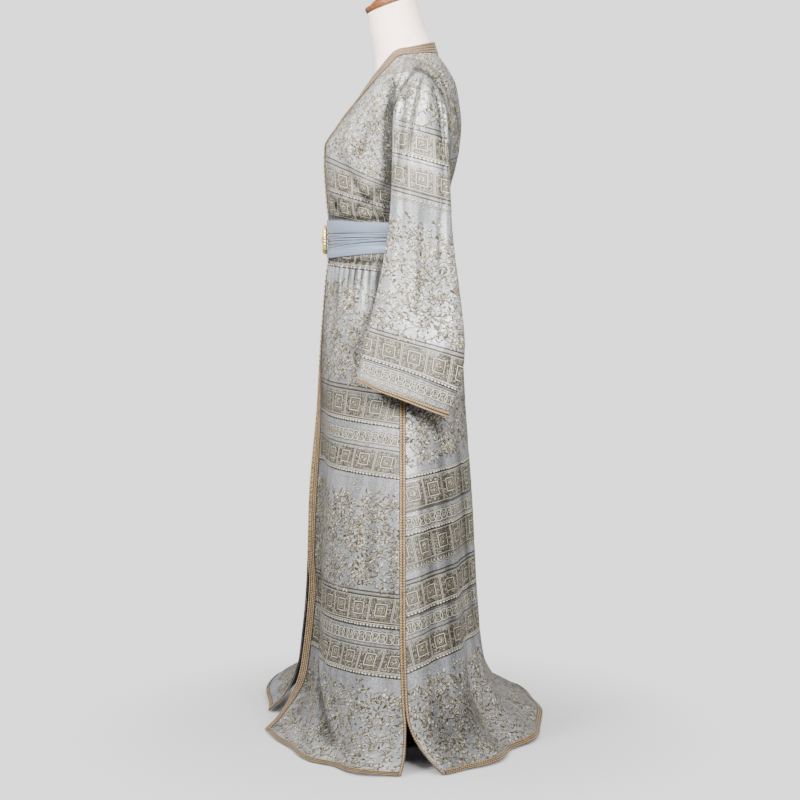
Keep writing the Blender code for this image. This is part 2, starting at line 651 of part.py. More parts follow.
def turned(name, profile, steps, finish):
    """A round piece from a profile of (radius, height) pairs, top to bottom."""
    mesh = bpy.data.meshes.new(name)
    mesh.from_pydata([(radius, 0, height) for radius, height in profile],
                     [(i, i + 1) for i in range(len(profile) - 1)], [])
    made = bpy.data.objects.new(name, mesh)
    PARTS.objects.link(made)
    mesh.materials.append(finish)
    screw = made.modifiers.new("turn", "SCREW")
    screw.axis = "Z"
    screw.steps = steps
    screw.render_steps = steps
    screw.use_merge_vertices = True
    screw.merge_threshold = 0.00005
    screw.use_smooth_shade = True
    return made


def make_buckle():
    """A round gold buckle with a rim and a domed middle."""
    gold = material("buckle_gold", (0.83, 0.62, 0.24), 0.28, 1.0)
    r, d = BUCKLE_RADIUS, BUCKLE_DEPTH
    profile = ((0.0, d), (0.004, d), (0.011, 0.80 * d), (0.016, 0.55 * d), (0.021, 0.50 * d),
               (0.024, 0.72 * d), (0.0275, 0.72 * d), (r, 0.45 * d), (r, 0.12 * d),
               (r - 0.0015, 0.0), (0.0, 0.0))
    buckle = turned("buckle", profile, 24, gold)
    seat = min(belt_point(0.0, line.share, line.out + BELT_WALL / 2).y for line in BELT_PROFILE)
    buckle.location = (0, seat - GAP, BUCKLE_HEIGHT)
    buckle.rotation_euler = (QUARTER, 0, 0)


def knot_row(name, top, bottom, finish):
    """A cord of small knotted buttons down the front edges."""
    rings, faces = [], []
    knots = round((top - bottom) / KNOT_PITCH)
    corners = 4
    for i in range(2 * knots + 1):
        height = top + (bottom - top) * i / (2 * knots)
        radius = KNOT_RADIUS if i % 2 else KNOT_WAIST
        if i in (0, 2 * knots):
            radius = KNOT_WAIST * 0.9
        centre = body_point(0.0, height)
        lift = LAYER + BRAID / 2 + GAP + KNOT_RADIUS
        out = body_normal(0.0, height)
        centre += lift * out
        across = Vector((1, 0, 0))
        rings.append([centre + radius * (math.cos(t) * across - math.sin(t) * out)
                      for t in (QUARTER * k for k in range(corners))])
    points = [point for ring in rings for point in ring]
    for i in range(len(rings) - 1):
        for k in range(corners):
            a, b = i * corners + k, i * corners + (k + 1) % corners
            faces.append((a, a + corners, b + corners, b))
    faces.append(tuple(range(corners)))
    faces.append(tuple(range(len(points) - 1, len(points) - corners - 1, -1)))
    mesh = bpy.data.meshes.new(name)
    mesh.from_pydata([tuple(point) for point in points], [], faces)
    return add_object(name, mesh, finish)


def make_buttons():
    thread = material("button_thread", (0.52, 0.40, 0.22), 0.5)
    knot_row("bodice_buttons", BODICE_KNOTS_TOP, BELT_TOP + BELT_CLEAR, thread)
    knot_row("skirt_buttons", BELT_BOTTOM - BELT_CLEAR, OPENING_TOP + KNOT_RADIUS, thread)


def form_inset(angle, height):
    inset = smooth_value([row.height for row in FORM_INSETS],
                         [row.inset for row in FORM_INSETS], height)
    turn = math.degrees(min(angle, 2 * math.pi - angle))
    hollow = ease((height - 1.20) / 0.08) * ease((1.452 - height) / 0.05)
    return inset + BREASTBONE_INSET * hollow * math.exp(-(turn / 14) ** 2)


def make_form():
    """The linen form: the garment's own rings without folds, drawn in, and a neck."""
    linen = material("form_linen", (0.80, 0.75, 0.70), 0.85)
    angles = [2 * math.pi * i / FORM_CELLS for i in range(FORM_CELLS)]
    rings = []
    for height in FORM_LEVELS:
        rings.append([body_point(angle, height)
                      - form_inset(angle, height) * body_normal(angle, height)
                      for angle in angles])
    for point in rings[0]:
        point.z = FORM_BOTTOM
    for ring in NECK_RINGS:
        tilt = math.radians(ring.tilt)
        rings.append([Vector((ring.radius * math.sin(angle),
                              ring.y - ring.radius * math.cos(angle) * math.cos(tilt),
                              ring.z - ring.radius * math.cos(angle) * math.sin(tilt)))
                      for angle in angles])
    points = [point for ring in rings for point in ring]
    faces = []
    for row in range(len(rings) - 1):
        for i in range(FORM_CELLS):
            a, b = row * FORM_CELLS + i, row * FORM_CELLS + (i + 1) % FORM_CELLS
            faces.append((a, b, b + FORM_CELLS, a + FORM_CELLS))
    faces.append(tuple(range(FORM_CELLS - 1, -1, -1)))
    faces.append(tuple(range(len(points) - FORM_CELLS, len(points))))
    mesh = bpy.data.meshes.new("dress_form")
    mesh.from_pydata([tuple(point) for point in points], [], faces)
    add_object("dress_form", mesh, linen)


def make_stand():
    """The turned neck cap, the pole under the form and the round base."""
    wood = material("turned_wood", (0.33, 0.16, 0.06), 0.4)
    top = NECK_RINGS[-1]
    tilt = math.radians(top.tilt)
    profile = ((0.0, 0.062), (0.010, 0.0605), (0.0165, 0.055), (0.0185, 0.047),
               (0.016, 0.039), (0.013, 0.033), (0.020, 0.026), (0.036, 0.019),
               (0.046, 0.0135), (0.0505, 0.0125), (0.0565, 0.0115), (0.0575, 0.006),
               (0.0560, 0.0), (0.0, 0.0))
    cap = turned("neck_cap", profile, 22, wood)
    up = Vector((0, -math.sin(tilt), math.cos(tilt)))
    cap.location = Vector((0, top.y, top.z)) + GAP * up
    cap.rotation_euler = (tilt, 0, 0)
    base_profile = ((0.0, BASE_HEIGHT), (0.120, BASE_HEIGHT), (BASE_RADIUS - 0.006, 0.016),
                    (BASE_RADIUS, 0.010), (BASE_RADIUS, 0.003), (BASE_RADIUS - 0.003, 0.0),
                    (0.0, 0.0))
    turned("stand_base", base_profile, 32, wood)
    top_z = FORM_BOTTOM - GAP
    low_z = BASE_HEIGHT + GAP
    pole_profile = ((0.0, top_z), (0.055, top_z), (0.055, top_z - 0.008),
                    (0.022, top_z - 0.014), (POLE_RADIUS, top_z - 0.030),
                    (POLE_RADIUS, low_z + 0.040), (0.026, low_z + 0.018), (0.034, low_z),
                    (0.0, low_z))
    turned("stand_pole", pole_profile, 20, wood)


def main():
    for old in list(bpy.data.objects):
        bpy.data.objects.remove(old)
    make_panels()
    make_sleeves()
    make_belt()
    make_buckle()
    make_buttons()
    make_form()
    make_stand()


PARTS = bpy.data.collections.new("kaftan_on_dress_form")
bpy.context.scene.collection.children.link(PARTS)
main()
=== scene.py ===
import math

import bpy
import numpy as np
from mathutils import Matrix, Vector


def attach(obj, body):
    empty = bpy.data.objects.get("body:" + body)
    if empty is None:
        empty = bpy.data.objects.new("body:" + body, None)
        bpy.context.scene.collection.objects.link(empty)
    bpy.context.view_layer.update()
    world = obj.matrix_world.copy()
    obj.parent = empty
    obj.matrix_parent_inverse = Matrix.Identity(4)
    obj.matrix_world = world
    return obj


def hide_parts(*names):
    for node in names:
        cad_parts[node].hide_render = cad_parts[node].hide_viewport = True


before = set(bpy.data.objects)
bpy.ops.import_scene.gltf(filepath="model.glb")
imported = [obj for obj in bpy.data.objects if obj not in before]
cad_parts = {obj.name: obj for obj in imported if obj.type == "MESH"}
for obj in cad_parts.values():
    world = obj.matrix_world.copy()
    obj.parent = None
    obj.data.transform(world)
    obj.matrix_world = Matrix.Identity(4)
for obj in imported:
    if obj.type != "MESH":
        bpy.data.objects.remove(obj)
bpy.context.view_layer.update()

quarter = math.pi / 2
sides = {"left": 1, "right": -1}

# Camera and studio
studio = {
    "eye": (4.2, 0.0108, 1.15), "lookDown": 5.92, "lens": 88.4,
    "paper": (0.70, 0.69, 0.69), "ambient": 0.58, "paperGlow": 2.75, "floorTone": (0.90, 0.89, 0.89),
    "floorRings": (0.3, 0.6, 0.9, 1.2, 1.6), "floorSteps": 96, "floorDrop": 0.0001, "floorFade": (0.26, 0.80),
    "lamps": {
        # name: place, aimed at, size, power, spread in degrees
        "neck": ((2.2, -0.8, 2.0), (0.05, 0, 1.54), 0.5, 2.9, 28),
        "upper": ((2.4, -0.4, 2.4), (0.22, 0.03, 1.15), 0.9, 3.2, 26),
        "skirt": ((2.6, 0.9, 1.6), (0.2, 0.05, 0.45), 1.0, 4, 50),
        "key": ((1.7, -1.7, 2.4), (0.1, 0, 1.2), 0.9, 26, 95),
        "side": ((2.4, 0.6, 2.1), (0.2, 0.05, 1.25), 1.1, 14, 70),
        "top": ((0.9, 0.5, 2.8), (0, 0, 1.2), 1.2, 17, 120),
        "low": ((-1.5, -2.5, 1.8), (0, 0, 0.6), 2.0, 20, 180),
    },
}

# The garment's rings, top to bottom. Rises: front and back centre over the side's height.
ringColumns = ("height", "frontRise", "backRise", "frontY", "sideY", "backY", "halfWidth")
ringTable = {
    "neck edge": (1.456, -0.046, 0.017, -0.044, 0.020, 0.081, 0.0635),
    "neck braid": (1.440, -0.042, 0.007, -0.050, 0.024, 0.090, 0.084),
    "mid shoulder": (1.424, -0.039, -0.003, -0.058, 0.034, 0.108, 0.125),
    "shoulder tip": (1.402, -0.042, -0.015, -0.073, 0.048, 0.127, 0.174),
    "upper chest": (1.350, -0.028, -0.010, -0.103, 0.050, 0.136, 0.176),
    "chest": (1.3085, -0.018, -0.006, -0.125, 0.050, 0.140, 0.170),
    "bust": (1.260, -0.008, -0.002, -0.147, 0.047, 0.137, 0.165),
    "armpit": (1.215, 0, 0, -0.147, 0.044, 0.129, 0.162),
    "midriff": (1.160, 0, 0, -0.144, 0.036, 0.115, 0.155),
    "belt top": (1.100, 0, 0, -0.139, 0.030, 0.107, 0.148),
    "waist": (1.060, 0, 0, -0.138, 0.027, 0.104, 0.146),
    "belt bottom": (1.018, 0, 0, -0.139, 0.024, 0.108, 0.149),
    "gathers": (0.970, 0, 0, -0.145, 0.020, 0.119, 0.160),
    "high hip": (0.900, 0, 0, -0.151, 0.017, 0.135, 0.180),
    "hip": (0.800, 0, 0, -0.159, 0.016, 0.145, 0.207),
    "thigh": (0.700, 0, 0, -0.166, 0.016, 0.151, 0.231),
    "knee": (0.500, 0, 0, -0.184, 0.016, 0.166, 0.277),
    "calf": (0.300, 0, 0, -0.190, 0.016, 0.177, 0.318),
    "slit": (0.145, 0, 0, -0.206, 0.020, 0.193, 0.347),
    "flare": (0.075, 0, 0, -0.226, 0.028, 0.228, 0.363),
    "spread": (0.030, 0, 0, -0.250, 0.036, 0.275, 0.377),
    "hem": (0.0025, 0, 0, -0.278, 0.040, 0.318, 0.391),
}
rings = {name: np.array([row[k] for row in ringTable.values()]) for k, name in enumerate(ringColumns)}

# Cloth and trims of the whole garment, in metres
cut = {
    "cloth": 0.0012, "backRisePower": 1.3, "seamTurn": 0.0008,
    "centreGap": 0.0006, "openingTop": 0.385, "openingPower": 1.6,
    "openingHalf": {1: 0.046, -1: 0.100},
    "slitTop": 0.110, "slitPower": 1.5, "slitBack": math.radians(12), "slitFront": math.radians(5),
    "armholeTop": 1.402, "armholeBottom": 1.215,
    "armholeFront": math.radians(17), "armholeBack": math.radians(36),
    "gathers": 13, "gatherDepth": 0.0034, "gatherFront": (9, 87), "gatherBack": (93, 180),
    "gatherLow": 0.88, "gatherHigh": 1.17, "gatherOver": 0.6,
    "beltTop": 1.100, "beltBottom": 1.018, "waist": 1.060,
    "hem": 0.0025, "braidWidth": 0.020, "cordWidth": 0.0065,
}
# The neckline on a front: angle and height on nine even rows from the shoulder to the fronts.
neckAngles = np.radians([90.0, 74.0, 50.0, 29.0, 17.4, 12.0, 8.2, 4.6, 0.2])
neckHeights = np.array([1.456, 1.4545, 1.440, 1.424, 1.402, 1.367, 1.330, 1.288, 1.242])

# Soft folds: angle at the top, angle at the hem, start, full, depth, half width, lift
folds = {
    "left front corner forward": (4, 4, 0.12, 0.01, 0.011, 8, 0),
    "left front drawn in": (31, 31, 0.14, 0.01, -0.021, 11, 0),
    "left front inner": (26, 34, 0.55, 0.05, 0.004, 9, 0),
    "left front trough": (20, 57, 0.32, 0.03, -0.013, 6.5, 0),
    "left front wave": (66, 70, 0.34, 0.03, 0.014, 8, 0.004),
    "left back trough": (112, 114, 0.80, 0.08, -0.009, 7, 0),
    "left back wave": (128, 131, 0.84, 0.06, 0.011, 8, 0.004),
    "left back valley": (143, 146, 0.70, 0.05, -0.010, 7, 0),
    "left train drawn in": (138, 141, 0.13, 0.01, -0.024, 24, 0),
    "left train wave": (158, 161, 0.40, 0.03, 0.010, 8, 0.005),
    "right front edge forward": (-5, -9, 0.42, 0.15, 0.005, 14, 0),
    "right front spread": (-50, -50, 0.150, 0.01, 0.135, 22, 0.018),
    "right front wave": (-24, -30, 0.30, 0.02, 0.010, 8, 0.006),
    "right front trough": (-52, -56, 0.50, 0.12, -0.008, 8, 0),
    "right side wave": (-70, -73, 0.40, 0.03, 0.011, 7, 0.004),
    "right back trough": (-112, -115, 0.78, 0.07, -0.009, 7, 0),
    "right back wave": (-130, -134, 0.82, 0.05, 0.011, 8, 0.004),
    "right back valley": (-146, -150, 0.66, 0.05, -0.009, 7, 0),
    "right train spread": (-141, -141, 0.090, 0.005, 0.056, 21, 0),
    "right train wave": (-164, -168, 0.38, 0.03, 0.006, 8, 0.004),
}
# The ridge where the fronts meet: the cloth falls back from it on both sides
ridge = {
    "depth": 0.036, "width": 6.0, "reach": 33.0, "round": 0.6, "start": 0.88, "full": 0.50,
    "low": 0.020, "edgeBack": 0.007, "edgeBackDrop": 0.07, "edgeBackWidth": 12.0,
}
# Fine creases between two places (angle, height), how deep (plus: a ridge), how wide
creases = {
    "armhole drag front": ((66, 1.345), (48, 1.215), -0.0035, 0.012),
    "armhole ridge front": ((60, 1.352), (40, 1.235), 0.0020, 0.010),
    "bust drag": ((84, 1.205), (58, 1.150), -0.0030, 0.009),
    "over belt 1": ((78, 1.180), (44, 1.112), -0.0028, 0.007),
    "over belt 2": ((62, 1.185), (30, 1.118), 0.0022, 0.008),
    "over belt 3": ((40, 1.165), (16, 1.108), -0.0020, 0.007),
    "blade fold 1": ((128, 1.350), (150, 1.170), -0.0035, 0.011),
    "blade fold 2": ((118, 1.330), (136, 1.140), 0.0025, 0.010),
    "blade fold 3": ((140, 1.390), (166, 1.260), -0.0028, 0.012),
    "back over belt 1": ((104, 1.175), (126, 1.112), -0.0030, 0.008),
    "back over belt 2": ((132, 1.180), (152, 1.110), -0.0028, 0.008),
    "skirt drag 1": ((30, 1.000), (34, 0.820), -0.0025, 0.012),
    "skirt drag 2": ((56, 1.004), (58, 0.800), 0.0022, 0.012),
    "skirt drag 3": ((76, 1.004), (74, 0.780), -0.0028, 0.012),
    "skirt back drag 1": ((110, 1.004), (108, 0.760), -0.0030, 0.012),
    "skirt back drag 2": ((128, 1.004), (126, 0.780), 0.0028, 0.013),
    "skirt back drag 3": ((152, 1.004), (150, 0.740), -0.0030, 0.013),
    "slack front 1": ((40, 0.560), (30, 0.300), 0.0022, 0.016),
    "slack front 2": ((72, 0.620), (70, 0.330), -0.0025, 0.014),
    "slack back 1": ((104, 0.640), (102, 0.200), 0.0030, 0.015),
    "slack back 2": ((114, 0.600), (112, 0.160), -0.0026, 0.016),
    "slack back 3": ((160, 0.560), (164, 0.200), 0.0035, 0.016),
    "near front trough": ((8, 0.234), (62, -0.010), -0.0100, 0.0150),
    "near front lobe": ((34, 0.240), (66, 0.050), 0.0060, 0.020),
    "back skirt fold 1": ((124, 0.760), (128, 0.120), -0.0040, 0.015),
    "back skirt fold 2": ((146, 0.700), (158, 0.200), -0.0042, 0.016),
    "bodice pull 1": ((32, 1.262), (60, 1.132), -0.0030, 0.007),
    "bodice pull 2": ((6, 1.178), (40, 1.103), -0.0026, 0.007),
    "bodice pull 3": ((42, 1.204), (71, 1.102), -0.0030, 0.007),
}
creaseFloor = 0.0022
# Shade round the armhole: strength, reach and half width of its inner and outer ring
armholeShade = {"inner": (1.1, 1, 0.13), "outer": (0.7, 1.32, 0.06)}
creaseShade = {"depth": 0.0058, "strength": 0.85}
# Shade painted into the cloth's colour along lines, in its narrowest folds and as broad patches; a minus
# strength paints it lighter: start, end, strength, half width
paintedShadeLines = {
    "beside the sleeve": ((66, 1.430), (79, 1.020), 2.2, 0.0090),
    "below the sleeve": ((80, 1.060), (54, 0.790), 0.75, 0.012),
    "beside the trough": ((8, 0.234), (62, -0.010), -0.17, 0.0180),
    "belt's shade": ((34, 0.985), (98, 0.990), 0.50, 0.028),
    "along the side seam": ((84, 0.62), (83, 0.16), 0.35, 0.010),
    "behind the sleeve": ((118, 1.350), (112, 1.110), 0.70, 0.010),
    "under the cuff": ((112, 0.745), (62, 0.815), 0.75, 0.020),
    "over the belt": ((-6, 1.106), (96, 1.104), 0.80, 0.006),
    "under the belt": ((-10, 1.013), (110, 1.022), 0.80, 0.006),
    "over the belt behind": ((90, 1.102), (178, 1.104), 0.60, 0.006),
    "under the belt behind": ((90, 1.030), (178, 1.026), 0.80, 0.007),
    "train": ((150, 0.120), (96, 0.045), 0.62, 0.066),
    "front of the skirt": ((34, 0.900), (36, 0.640), 0.13, 0.110),
    "behind the seam": ((118, 0.640), (118, 0.080), 0.13, 0.120),
    "front of the hem": ((2, 0.150), (26, 0.030), 0.45, 0.025),
    "waist shade": ((-14, 1.130), (104, 1.130), 0.34, 0.036),
    "beside the front edge": ((6, 1.050), (8, 0.050), 0.40, 0.022),
}


def smoothThrough(places, values, at):
    # Monotone cubic: each row's slope is the harmonic mean of the slopes beside it.
    x, y = np.asarray(places, float), np.asarray(values, float)
    if x[0] > x[-1]:
        x, y = x[::-1], y[::-1]
    rise = np.diff(y) / np.diff(x)
    slope = np.zeros_like(y)
    slope[0], slope[-1] = rise[0], rise[-1]
    product = rise[:-1] * rise[1:]
    total = np.where(product > 0, rise[:-1] + rise[1:], 1)
    slope[1:-1] = np.where(product > 0, 2 * product / total, 0)
    at = np.clip(at, x[0], x[-1])
    i = np.clip(np.searchsorted(x, at, side="right") - 1, 0, len(x) - 2)
    span = x[i + 1] - x[i]
    t = (at - x[i]) / span
    return (y[i] * (1 + 2 * t) * (1 - t) ** 2 + slope[i] * span * t * (1 - t) ** 2
            + y[i + 1] * t ** 2 * (3 - 2 * t) + slope[i + 1] * span * t ** 2 * (t - 1))


def ease(share):
    # 0 to 1 with level ends: 3t^2 - 2t^3.
    share = np.clip(share, 0, 1)
    return share * share * (3 - 2 * share)


def signed(turn):
    # The same turn in degrees, from -180 to 180.
    return (turn + 180) % 360 - 180


def ringAt(name, height):
    return smoothThrough(rings["height"], rings[name], height)


def parted(height, top, power):
    # 0 at the top, growing as a power of the way down to the floor.
    return np.maximum(0, (top - height) / top) ** power


def unit(vectors):
    return vectors / np.maximum(np.linalg.norm(vectors, axis=-1, keepdims=True), 1e-12)


def lengths(points, axis):
    return np.linalg.norm(np.diff(points, axis=axis), axis=-1)


def running(steps, axis=0):
    # Sums along an axis that start at 0.
    sums = np.cumsum(steps, axis)
    return np.concatenate([0 * np.take(sums, [0], axis), sums], axis)


def gatherDepth(angle, height):
    # Raised cosines round the body, full at the belt and fading away from it.
    below = ease((cut["beltBottom"] - height) / 0.016) * ease((height - cut["gatherLow"]) / 0.11)
    above = cut["gatherOver"] * ease((height - cut["beltTop"]) / 0.02)
    above = above * ease((cut["gatherHigh"] - height) / 0.05)
    turn = np.abs(np.degrees(angle)) % 360
    turn = np.minimum(turn, 360 - turn)
    first, last = (np.where(turn < 90, *ends) for ends in zip(cut["gatherFront"], cut["gatherBack"]))
    share = (turn - first) / (last - first)
    wave = (1 - np.cos(2 * np.pi * cut["gathers"] * share)) * ((share > 0) & (share < 1))
    return cut["gatherDepth"] / 2 * (below + above) * wave


def creaseDepth(angle, height, table=creases):
    # Each crease is a Gaussian across the line between its two places, faded at its ends.
    scale = np.radians(0.5 * (ringAt("halfWidth", height) + 0.13))
    across = signed(np.degrees(angle)) * scale
    total = np.zeros(np.broadcast(angle, height).shape)
    hem = ease((height - 0.010) / 0.050) if table is creases else 1
    for start, end, depth, width in table.values():
        for side, tilt in ((1, 0.0), (-1, 3.0)):
            ax, dx = side * (start[0] + tilt) * scale, side * (end[0] - start[0]) * scale
            rise = end[1] - start[1]
            along = ((across - ax) * dx + (height - start[1]) * rise) / (dx * dx + rise * rise)
            along = np.clip(along, 0, 1)
            away2 = (across - ax - along * dx) ** 2 + (height - start[1] - along * rise) ** 2
            total += depth * ease(4 * along) * ease(4 * (1 - along)) * hem * np.exp(-away2 / width ** 2)
    return total


def paintedShadeShare(angle, height):
    # Painted shade: how dark a place is painted, from the depth of its creases, the gathers' valleys, the
    # painted shade lines and the armhole seam.
    dents = np.clip(-creaseDepth(angle, height) / creaseShade["depth"], 0, 1)
    valley = (cut["gatherDepth"] * 0.3 - gatherDepth(angle, height)) / cut["gatherDepth"]
    near = ease((cut["beltBottom"] - height) / 0.01) * ease((height - 0.91) / 0.09)
    turn = np.abs(np.degrees(angle) - 360 * (angle > np.pi))
    depth = np.degrees(np.where(turn < 90, cut["armholeFront"], cut["armholeBack"]))
    middle = (cut["armholeTop"] + cut["armholeBottom"]) / 2
    reach = np.hypot((turn - 90) / depth, (height - middle) / (cut["armholeTop"] - middle))
    inner, outer = (strength * np.exp(-((reach - at) / width) ** 2)
                    for strength, at, width in armholeShade.values())
    sewn = inner + outer * ease((height - middle) / 0.04)
    return np.clip(creaseShade["strength"] * dents + creaseDepth(angle, height, paintedShadeLines)
                   + near * np.clip(2 * valley, 0, 0.8) + sewn, 0, 1)


def ridgeDepth(angle, height):
    # Exponential fall away from each front's edge that returns as a Gaussian.
    turn = signed(np.degrees(angle))
    half = np.where(turn >= 0, cut["openingHalf"][1], cut["openingHalf"][-1])
    half = half * parted(height, cut["openingTop"], cut["openingPower"])
    away = np.hypot(np.abs(turn) - np.degrees(np.arcsin(half / ringAt("halfWidth", height))), ridge["round"])
    away = away - ridge["round"]
    grown = ease((ridge["start"] - height) / (ridge["start"] - ridge["full"]))
    grown = grown * ease((height - ridge["low"]) / 0.09)
    depth = ridge["depth"] * grown * (1 - np.exp(-away / ridge["width"]))
    opened = ease((cut["openingTop"] - height) / ridge["edgeBackDrop"]) * (turn >= 0)
    back = ridge["edgeBack"] * opened * np.exp(-(away / ridge["edgeBackWidth"]) ** 2)
    return (depth * np.exp(-(away / ridge["reach"]) ** 2) + back) * (np.abs(turn) <= 90)


def foldDepths(angle, height):
    # How far folds, gathers and creases move a point out, and up; over the form creases stay shallow.
    crease = creaseDepth(angle, height)
    shallow = np.where(crease < 0, -creaseFloor * np.tanh(-crease / creaseFloor), crease)
    crease = crease + (shallow - crease) * ease((height - 0.95) / 0.04)
    out = gatherDepth(angle, height) + crease - ridgeDepth(angle, height)
    lift = np.zeros_like(out)
    for top, low, start, full, depth, width, raised in folds.values():
        grown = ease((start - height) / (start - full))
        away = signed(np.degrees(angle) - (top + (low - top) * grown))
        bump = grown * np.exp(-(away / width) ** 2)
        out = out + depth * bump
        lift = lift + raised * bump * ease((0.16 - height) / 0.16)
    return out, lift


def bodyPoint(angle, height, plain=False):
    # Half ellipses before and behind the side line, each raised towards its middle.
    size = {name: ringAt(name, height) for name in ringColumns[1:]}
    side, facing = np.sin(angle), np.cos(angle)
    ahead = facing >= 0
    reach = np.where(ahead, size["sideY"] - size["frontY"], size["backY"] - size["sideY"])
    rise = np.where(ahead, size["frontRise"] * facing ** 2,
                    size["backRise"] * np.abs(facing) ** cut["backRisePower"])
    out, lift = (0, 0) if plain else foldDepths(angle, height)
    return np.stack([(size["halfWidth"] + out) * side, size["sideY"] - (reach + out) * facing,
                     height + rise + lift], -1)


def bodyNormal(angle, height, plain=False):
    # Cross product of the slope round the body and the slope up it.
    step = 0.0005
    along = bodyPoint(angle + step, height, plain) - bodyPoint(angle - step, height, plain)
    high, low = np.minimum(height + step, rings["height"][0]), np.maximum(height - step, cut["hem"])
    up = bodyPoint(angle, high, plain) - bodyPoint(angle, low, plain)
    return unit(np.cross(along, up))


def armholePlace(turn):
    # An oval in angle and height: turn 90 degrees is the shoulder, -90 the armpit.
    middle = (cut["armholeTop"] + cut["armholeBottom"]) / 2
    height = middle + (cut["armholeTop"] - cut["armholeBottom"]) / 2 * np.sin(turn)
    depth = np.where(np.cos(turn) >= 0, cut["armholeFront"], cut["armholeBack"])
    return quarter - depth * np.cos(turn), height


def frontEdge(side, height):
    # The fronts part below the last button as a power of the way down.
    gap = cut["centreGap"]
    spread = (cut["openingHalf"][side] - gap) * parted(height, cut["openingTop"], cut["openingPower"])
    return np.arcsin((gap + spread) / ringAt("halfWidth", height))


def slitTurn(height, full):
    return full * parted(height, cut["slitTop"], cut["slitPower"])


# Heights of the cloth's rows below the armhole: close over and under the belt and at the hem
lowerRows = np.concatenate([
    np.arange(1.186, 1.02, -0.0046), np.arange(1.018, 0.885, -0.0042),
    np.arange(0.88, 0.165, -0.0095), np.arange(0.16, 0.012, -0.0055), [0.0095, 0.0060, 0.0025]])


def frontPlaces(side):
    # Inner and outer ends (angle, height) of every row of a front.
    k = np.linspace(0, 8, 45)
    outerA, outerH = armholePlace(np.radians(90 - 22.5 * k))
    outerA = np.minimum(outerA, quarter - cut["seamTurn"])
    innerA = np.minimum(smoothThrough(np.arange(9.0), neckAngles, k), quarter - cut["seamTurn"])
    innerH = smoothThrough(np.arange(9.0), neckHeights, k)
    m = np.linspace(0.2, 1, 5)
    seam = quarter - cut["seamTurn"]
    joinH = 1.242 + (1.190 - 1.242) * m
    inner = np.concatenate([innerA, frontEdge(side, joinH), frontEdge(side, lowerRows)])
    innerHeights = np.concatenate([innerH, joinH, lowerRows])
    outer = np.concatenate([outerA, np.full(5, seam), seam - slitTurn(lowerRows, cut["slitFront"])])
    outerHeights = np.concatenate([outerH, 1.215 + (1.190 - 1.215) * m, lowerRows])
    return inner, innerHeights, outer, outerHeights


def backPlaces():
    # Seam angle and height of every row of the back.
    shoulder = np.linspace(1.456, 1.402, 10)[:-1]
    k = np.linspace(0, 8, 33)
    seamA, seamH = armholePlace(math.pi - np.radians(90 - 22.5 * k))
    seam = quarter + cut["seamTurn"]
    between = np.array([1.209, 1.203, 1.197, 1.191])
    angles = np.concatenate([np.full(9, seam), np.maximum(seamA, seam), np.full(4, seam),
                             seam + slitTurn(lowerRows, cut["slitBack"])])
    return angles, np.concatenate([shoulder, seamH, between, lowerRows])


# How far the woven borders dip from the centre line towards the side seam, by height
dipTable = {
    "height": [1.456, 1.22, 1.11, 1.00, 0.73, 0.30, 0.0],
    "front": [1.0, 1.5, 0.75, 0.22, 0.24, 0.10, 0.10],
    "back": [0.2, 0.5, 0.6, 0.6, 0.70, 0.75, 0.75],
}


def measured(points, uStart, heights, dip, power):
    # Flat places of a grid: u along the rows, v down the columns from the waist, less the dip.
    u = uStart[:, None] + running(lengths(points, 1), 1)
    v = running(lengths(points, 0))
    v = v - v[np.argmin(np.abs(heights[:, -1] - cut["waist"]))]
    return u, v - smoothThrough(dipTable["height"], dipTable[dip], heights) * np.abs(u) ** power


def normalsOf(points):
    across, down = np.gradient(points, axis=1), np.gradient(points, axis=0)
    return unit(np.cross(down, across))


def frontCloth(side, columns=60):
    # A front as a grid: straight rows in (angle, height) between the edges of frontPlaces.
    innerA, innerH, outerA, outerH = (ends[:, None] for ends in frontPlaces(side))
    t = np.linspace(0, 1, columns + 1)
    angle, height = innerA + (outerA - innerA) * t, innerH + (outerH - innerH) * t
    points = bodyPoint(side * angle, height)
    lead = np.linspace(0, 1, 24)
    start = lengths(bodyPoint(innerA * lead, innerH + 0 * lead, True), 1).sum(1)
    u, v = measured(points, start, height, "front", 2)
    cloth = {"points": points, "u": u, "v": v, "hollow": paintedShadeShare(side * angle, height)}
    centre = innerH[:, 0], v[:, 0]
    if side < 0:
        cloth = {name: grid[:, ::-1] for name, grid in cloth.items()}
    return {**cloth, "centre": centre, "normals": normalsOf(cloth["points"])}


def backCloth(columns=116):
    # The back as a grid from the left seam to the right seam.
    seam, heights = (ends[:, None] for ends in backPlaces())
    t = np.linspace(0, 1, columns + 1)
    angle, height = seam + (2 * math.pi - 2 * seam) * t, heights + 0 * t
    points = bodyPoint(angle, height)
    middle = columns // 2
    u, v = measured(points, -lengths(points, 1)[:, :middle].sum(1), height, "back", 3)
    return {"points": points, "u": u, "v": v, "hollow": paintedShadeShare(angle, height),
            "centre": (heights[:, 0], v[:, middle]), "normals": normalsOf(points)}


# The sleeve below its armhole: x, front y, front z, rear y, rear z, half thickness (x, z)
sleeveStations = {
    "head": (0.200, -0.003, 1.300, 0.107, 1.300, 0.026, 0.064),
    "upper arm": (0.209, -0.004, 1.235, 0.109, 1.235, 0.028, 0.040),
    "arm": (0.217, -0.006, 1.160, 0.112, 1.160, 0.029, 0.018),
    "elbow": (0.224, -0.015, 1.060, 0.118, 1.060, 0.029, 0.006),
    "forearm": (0.235, -0.039, 0.940, 0.133, 0.940, 0.028, 0.0),
    "corner": (0.247, -0.060, 0.860, 0.141, 0.852, 0.027, 0.0),
    "wrist": (0.252, -0.068, 0.822, 0.134, 0.785, 0.027, 0.0),
    "cuff": (0.259, -0.076, 0.780, 0.107, 0.705, 0.027, 0.0),
}
